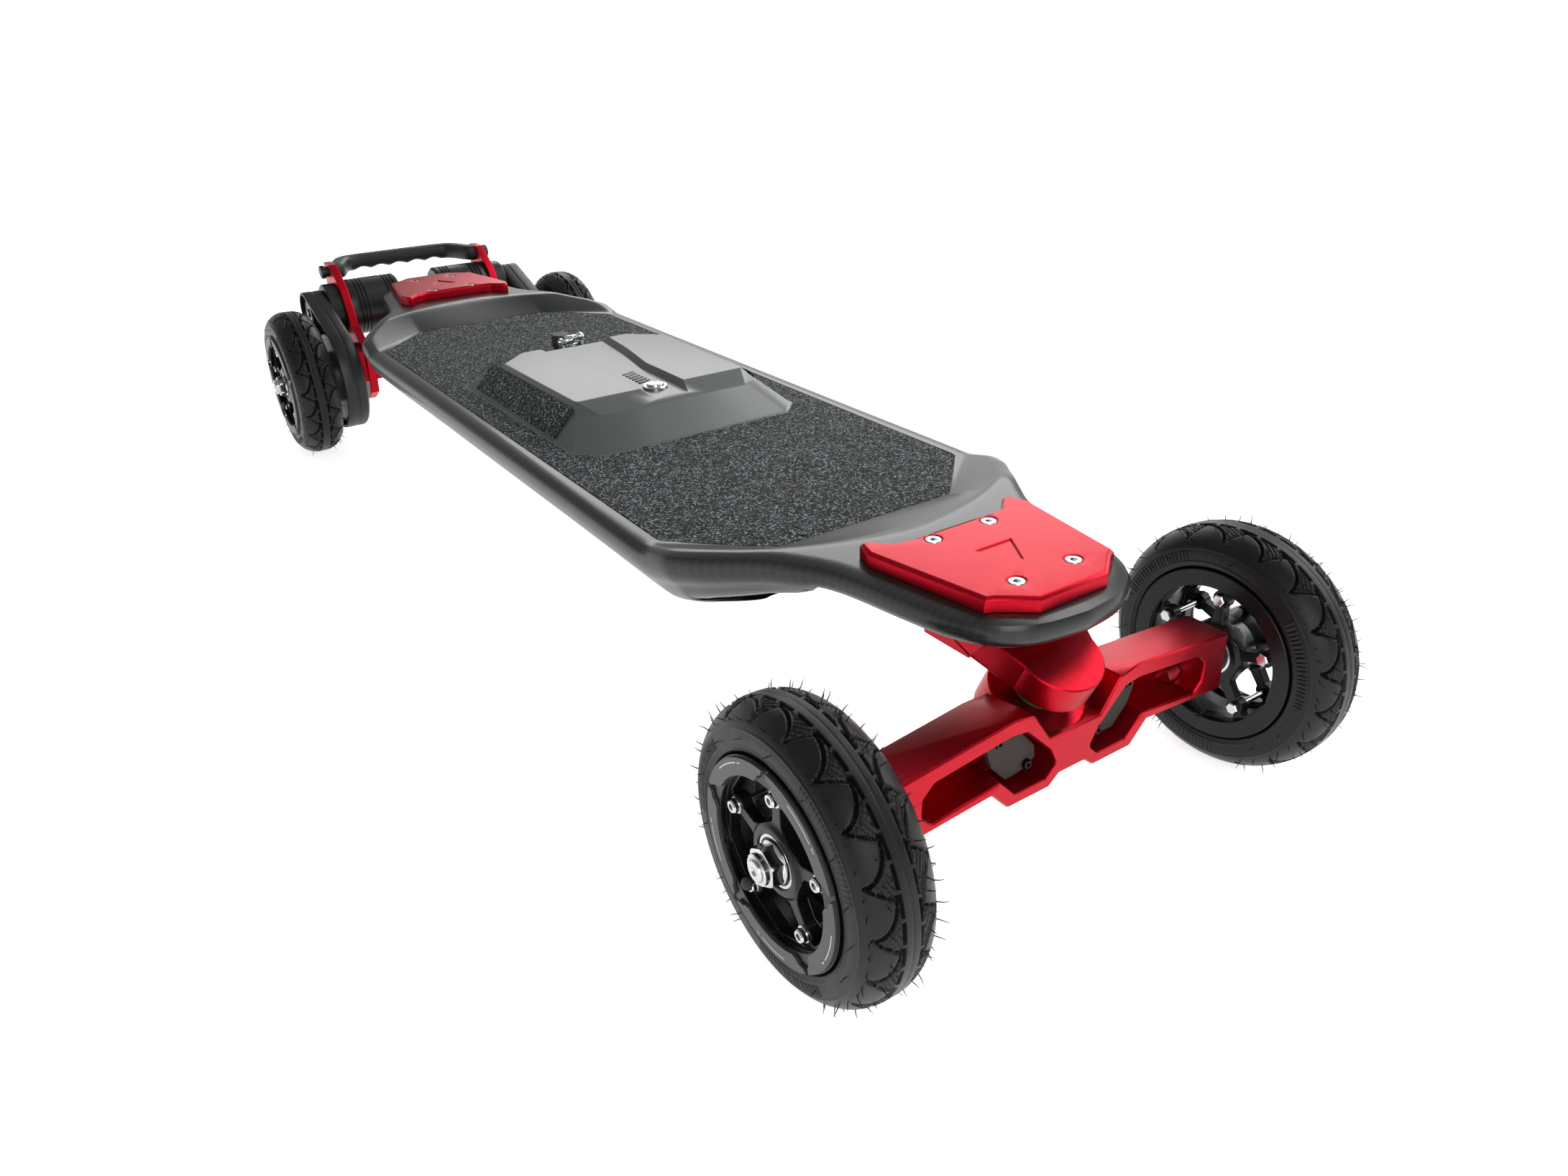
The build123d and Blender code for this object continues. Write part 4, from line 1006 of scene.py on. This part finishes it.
for end, side in ((e, s) for e in ("front", "rear") for s in ("left", "right")):
    corner = f"{end}_{side}"
    low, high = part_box(corner + "_tyre")
    turned = Matrix.Identity(4) if side == "left" else Matrix.Rotation(math.pi, 4, "Z")
    place = Matrix.Translation((low + high) / 2) @ turned
    for name, mesh, finish, slot, stood_for, smooth in wheel_parts:
        nodes = [f"{corner}_{stood_for}"] if stood_for else []
        new_piece(f"{corner}_{name}", mesh, corner + "_wheel", finish, slot, *nodes,
                  smooth=smooth, place=place)
    for name, mesh in nut_meshes:
        nodes = [end + "_axle_nuts"] if name == "lock_nut" else []
        new_piece(f"{corner}_{name}", mesh, end + "_truck", bright_steel, "bright_steel", *nodes,
                  smooth=30, place=place)
    milled(corner + "_rim_milled", corner + "_rim", corner + "_wheel", black_anodised, "rim_black", 0.4)

# ---------------- belt drive and carry handle ----------------
# Two brushless motors sit between red milled arms behind the tail axle. Each turns its rear wheel through
# a toothed belt under a moulded guard, and a moulded grab handle joins the tops of the arms.
guard_low, guard_high = box("belt_guards")
pulley_low, pulley_high = box("left_motor_pulley")
wheel_pulley_low, wheel_pulley_high = box("left_wheel_pulley")
handle_low, handle_high = box("carry_handle")
motor_x = (pulley_low.x + pulley_high.x) / 2
motor_z = (pulley_low.z + pulley_high.z) / 2
rear_x = (wheel_pulley_low.x + wheel_pulley_high.x) / 2
rear_z = (wheel_pulley_low.z + wheel_pulley_high.z) / 2
motor_radius = 31.5
arm_outer = box("motor_arms")[1].y
arm_inner = arm_outer - 9.0
belt_edge = box("belts")[1].y


def motor_mesh(work):
    """Finned cans: a smooth belly, three cooling grooves near each end, and a stepped end cap."""
    far, near, cap = arm_inner - 62.0, arm_inner, guard_high.y - 22.5
    centre, r = (motor_x, 0, motor_z), motor_radius
    can = [(0, far), (22, far), (24, far + 1.5), (29, far + 1.5), (r - 0.6, far + 3.2), (r, far + 4)]
    for at in [start + 4.2 * k for start in (far + 8, near - 19) for k in range(3)]:
        can += [(r, at), (r - 1.4, at + 0.6), (r - 1.4, at + 2), (r, at + 2.6)]
    lathe_pair(work, can + [(r, near - 3), (r - 1, near - 0.2), (0, near - 0.2)], centre, 72)
    cover = [(10.3, arm_outer + 0.3), (r - 2.4, arm_outer + 0.3), (r - 2, arm_outer + 0.8)]
    cover += [(r - 2, cap - 2.2), (r - 2.9, cap - 0.9), (r - 5, cap - 0.3), (15, cap - 0.3)]
    cover += [(14, cap - 1.4), (10.3, cap - 1.4)]
    lathe_pair(work, cover, centre, 72)


def guard_outline(radius_axle, radius_motor, steps=40):
    """The outline of a belt's run: two arcs joined by tangents, in (x, z)."""
    axle, motor = Vector((rear_x, rear_z)), Vector((motor_x, motor_z))
    run = motor - axle
    lean = math.atan2(run.y, run.x)
    spread = math.acos((radius_axle - radius_motor) / run.length)
    outline = []
    for i in range(steps + 1):
        a = lean + spread + (math.tau - 2 * spread) * i / steps
        outline.append(axle + radius_axle * Vector((math.cos(a), math.sin(a))))
    for i in range(steps // 2 + 1):
        a = lean - spread + 2 * spread * i / (steps // 2)
        outline.append(motor + radius_motor * Vector((math.cos(a), math.sin(a))))
    return outline


def guard_mesh(work):
    """A dished cup with a rolled rim, a stiffening ring and a clearance hole at each shaft."""
    inner, rim = guard_high.y - 23.0, guard_high.y
    radius_axle = rear_z - guard_low.z
    radius_motor = guard_high.z - motor_z
    section = [(1.6, rim - 0.3), (2.9, rim - 0.2), (3.0, inner + 2.9), (26.0, inner + 3.0), (26.0, inner)]
    section += [(6.0, inner), (4.2, inner - 0.9), (2.6, inner - 0.6), (0.9, inner + 0.8), (0.0, inner + 2.6)]
    section += [(0.0, inner + 9), (0.7, inner + 9.8), (0.7, inner + 11.2), (0.0, inner + 12)]
    section += [(0.0, rim - 1.0), (0.5, rim - 0.2), (1.6, rim - 0.3)]
    for side in (-1, 1):
        rows = []
        for inset, y in section:
            smallest = 10.5 if inset > 20 else 1
            ring = guard_outline(radius_axle - inset, max(radius_motor - inset, smallest), 48)
            rows.append([(p.x, side * y, p.y) for p in ring + ring[:1]])
        skin(work, rows)


def belt_mesh(work, side):
    """A moulded belt with a tooth every 5 mm inside its run."""
    y_low, y_high = side * (belt_edge - 15.0), side * belt_edge
    inner_axle = (wheel_pulley_high.x - wheel_pulley_low.x) / 2 + 0.35
    inner_motor = (pulley_high.x - pulley_low.x) / 2 + 0.35
    path = guard_outline(inner_axle, inner_motor, 60)
    loop = path + path[:1]
    runs = running_lengths(loop)
    wanted = np.linspace(0, runs[-1], int(runs[-1] / 5) * 4, endpoint=False)
    line = [Vector(p) for p in zip(*(np.interp(wanted, runs, [q[i] for q in loop]) for i in (0, 1)))]
    middle = Vector(((rear_x + motor_x) / 2, (rear_z + motor_z) / 2))
    rows = []
    for i, p in enumerate(line):
        along = (line[(i + 1) % len(line)] - line[i - 1]).normalized()
        out = Vector((-along.y, along.x))
        if (p - middle).dot(out) < 0:
            out = -out
        near = p + out * (0.0 if i % 4 in (0, 1) else 0.9)
        far = p + out * 2.9
        corners = ((near, y_low), (far, y_low), (far, y_high), (near, y_high), (near, y_low))
        rows.append([(q.x, y, q.y) for q, y in corners])
    skin(work, rows, closed=True)


def pulley_mesh(work, centre, radius, teeth, low, high, bore):
    """A toothed pulley, with a plain band at each side."""
    rows = []
    for i in range(teeth * 6):
        a = math.tau * i / (teeth * 6)
        gap = (0.0, 0.0, 0.7, 1.1, 1.1, 0.7)[i % 6]
        row = [(bore, low), (radius, low), (radius, low + 0.8), (radius - gap, low + 1.0)]
        row += [(radius - gap, high - 1.0), (radius, high - 0.8), (radius, high), (bore, high)]
        rows.append([(centre[0] + r * math.cos(a), y, centre[1] + r * math.sin(a)) for r, y in row])
    skin(work, rows, closed=True)


def handle_mesh(work):
    """Bowed grab bar: five finger grooves under the grip, straight cheeks, and pins into the arms."""
    thick, squareness = 8.6, 0.5
    grip_x, z = handle_low.x + 8.0, (handle_low.z + handle_high.z) / 2
    end_x = grip_x + 40.0
    bend, grip_half, finger = 58.0, 55.0, 22.0
    line = [(end_x, -arm_inner - 0.5), (end_x - 3, -arm_inner + 4), (grip_x + 9, -bend - 9)]
    line += [(grip_x + 1.2, -bend + 6), (grip_x, -20)]
    line += [(x, -y) for x, y in reversed(line)]
    spine = smooth_line([Vector(p) for p in line], 150)
    rows = []
    for i, p in enumerate(spine):
        along = (spine[min(i + 1, len(spine) - 1)] - spine[max(i - 1, 0)]).normalized()
        side = Vector((along.y, -along.x))
        groove_depth = 0.0
        if abs(p.y) < grip_half:
            wave = 0.5 - 0.5 * math.cos(math.tau * (p.y + grip_half) / finger)
            groove_depth = 2.6 * wave ** 0.7
        ring = []
        for k in range(25):
            t = math.tau * k / 24
            u, w = (math.copysign(abs(f) ** squareness, f) * thick for f in (math.cos(t), math.sin(t)))
            if w < 0:
                w *= 1 - groove_depth / 8.5
            q = p + side * u
            ring.append((q.x, q.y, z + w))
        rows.append(ring)
    skin(work, rows)
    for row in (rows[0], rows[-1]):
        work.faces.new([work.verts.new(p) for p in row[:-1]])
    tip = arm_outer + 8
    pin = [(0, arm_inner - 3), (5.9, arm_inner - 3), (5.9, tip - 5), (7.4, tip - 4.4), (7.4, tip - 0.8)]
    lathe_pair(work, pin + [(6.6, tip), (0, tip)], (end_x, 0, z), 32)


# Powder coat on the motors, glass-filled nylon for guards and handle, and neoprene belts: all near black,
# told apart by their gloss. The pulleys are phosphated steel, a dark grey metal.
motor_black = moulded_black("black_powder_coat", "#0a0b0c", "#151618", 0.34, 1.2)
guard_black = moulded_black("black_moulded_guard", "#0c0d0e", "#17191b", 0.42, 1.4)
belt_rubber = moulded_black("belt_neoprene", "#0b0b0c", "#1b1b1c", 0.6, 0.7)
pulley_steel = turned_steel("phosphated_steel", "#3b3c3e", "#6a6b6e", 0.3)
new_piece("motor_cans", mesh_from(motor_mesh), "rear_truck", motor_black, "motor_black", "motors", smooth=30)
new_piece("belt_guard_cups", mesh_from(guard_mesh), "rear_truck", guard_black, "guard_plastic", "belt_guards",
          smooth=40)
new_piece("grab_handle", mesh_from(handle_mesh), "rear_truck", guard_black, "handle_black", "carry_handle",
          smooth=45)
milled("motor_arms_milled", "motor_arms", "rear_truck", anodised, "red_anodised", 0.9, 2)
for side, side_name in ((1, "left"), (-1, "right")):
    mesh = mesh_from(belt_mesh, side)
    new_piece(side_name + "_belt_run", mesh, "rear_truck", belt_rubber, "belt_rubber", "belts", smooth=30)
    low, high = box(side_name + "_motor_pulley")
    radius = (high.x - low.x) / 2
    belt_low, belt_high = sorted((side * (belt_edge - 15.2), side * (belt_edge + 0.5)))

    def motor_pulley_mesh(work):
        pulley_mesh(work, (motor_x, motor_z), radius, 16, belt_low, belt_high, 5.0)
        near, far = low.y, high.y
        shaft = [(0, near), (4.6, near), (5, near + 0.4), (5, far - 0.4), (4.6, far), (0, far)]
        lathe(work, shaft, (motor_x, 0, motor_z), SIDEWAYS, 32)

    new_piece(side_name + "_motor_pulley_toothed", mesh_from(motor_pulley_mesh), side_name + "_motor_rotor",
              pulley_steel, "pulley_steel", side_name + "_motor_pulley", smooth=30)
    repaint(side_name + "_wheel_pulley", pulley_steel)

# ---------------- battery, tray and controller ----------------
# Under the lid lie the shrink-wrapped cells in their moulded tray and the speed controller in its extruded
# case. They are sealed in the shell, and keep their plain real shapes.
cell_wrap = moulded_black("blue_shrink_wrap", "#16457c", "#1f5fa6", 0.35, 1.0)
controller_alu = turned_steel("extruded_aluminium", "#8b8d90", "#b5b7ba", 0.4)
repaint("battery_cells", cell_wrap)
repaint("battery_tray", black_nylon)
repaint("motor_controller", controller_alu)
repaint("bay_lid", deck_carbon)

# ---------------- studio ----------------
# A wide white floor under a soft box, with strip lights off the nose, behind and to the left, so that long
# soft highlights run along every edge. The air is bright near the floor and greyer overhead.
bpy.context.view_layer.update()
floor_mesh = bpy.data.meshes.new("studio_floor")
far = 400.0
floor_mesh.from_pydata([(-far, -far, 0), (far, -far, 0), (far, far, 0), (-far, far, 0)], [], [(0, 1, 2, 3)])
floor = bpy.data.objects.new("studio_floor", floor_mesh)
bpy.context.scene.collection.objects.link(floor)
floor_paint = mottled("white_floor_paint", "#f6f4f1", "#fbfaf8", 1.5, Roughness=0.7, Specular_IOR_Level=0.1,
                      Emission_Color=linear("#ffffff"), Emission_Strength=0.72)
floor_mesh.materials.append(floor_paint)

world = bpy.data.worlds.new("studio_air")
world.use_nodes = True
height = node(world, "SeparateXYZ", {0: node(world, "TexCoord").outputs["Generated"]})
glow = node(world, "MapRange", {0: height.outputs[2], 1: 0.04, 2: 0.2, 3: 1.1, 4: 0.34})
world.node_tree.links.new(glow.outputs[0], world.node_tree.nodes["Background"].inputs["Strength"])
world.node_tree.nodes["Background"].inputs["Color"].default_value = linear("#ffffff")
bpy.context.scene.world = world


def soft_box(name, place, target, size, power):
    """A rectangular lamp that looks at a target, its power in watts."""
    lamp = bpy.data.lights.new(name, "AREA")
    lamp.shape = "RECTANGLE"
    lamp.size, lamp.size_y = size
    lamp.energy = power
    lamp.color = (1.0, 1.0, 1.0)
    made = bpy.data.objects.new(name, lamp)
    made.location = place
    made.rotation_euler = (Vector(target) - Vector(place)).to_track_quat("-Z", "Y").to_euler()
    bpy.context.scene.collection.objects.link(made)


soft_box("top_box", (0.1, 1.75, 2.3), (0, 0, 0.1), (2.2, 1.0), 34)
soft_box("nose_strip", (2.4, -0.9, 1.3), (0.3, 0, 0.1), (1.2, 1.6), 24)
soft_box("back_strip", (-2.2, 1.8, 1.4), (0, 0, 0.1), (2.4, 0.9), 26)
soft_box("left_strip", (0.9, 2.3, 1.1), (0.2, 0, 0.1), (1.8, 0.7), 20)

# The camera stands off the nose on the rider's right and looks back along the board.
camera_data = bpy.data.cameras.new("camera")
camera_data.lens = 25.64
camera_data.sensor_width = 36.0
camera_data.clip_start = 0.02
camera = bpy.data.objects.new("camera", camera_data)
bpy.context.scene.collection.objects.link(camera)
yaw, pitch, roll = (math.radians(a) for a in (146.27, -27.16, -1.62))
ahead = Vector((math.cos(yaw) * math.cos(pitch), math.sin(yaw) * math.cos(pitch), math.sin(pitch)))
level = Vector((math.sin(yaw), -math.cos(yaw), 0))
upright = level.cross(ahead)
right = level * math.cos(roll) + upright * math.sin(roll)
up = upright * math.cos(roll) - level * math.sin(roll)
turn = Matrix((right, up, -ahead)).transposed().to_4x4()
camera.matrix_world = Matrix.Translation((0.8534, -0.3982, 0.4295)) @ turn
bpy.context.scene.camera = camera
bpy.context.scene.view_settings.view_transform = "Standard"
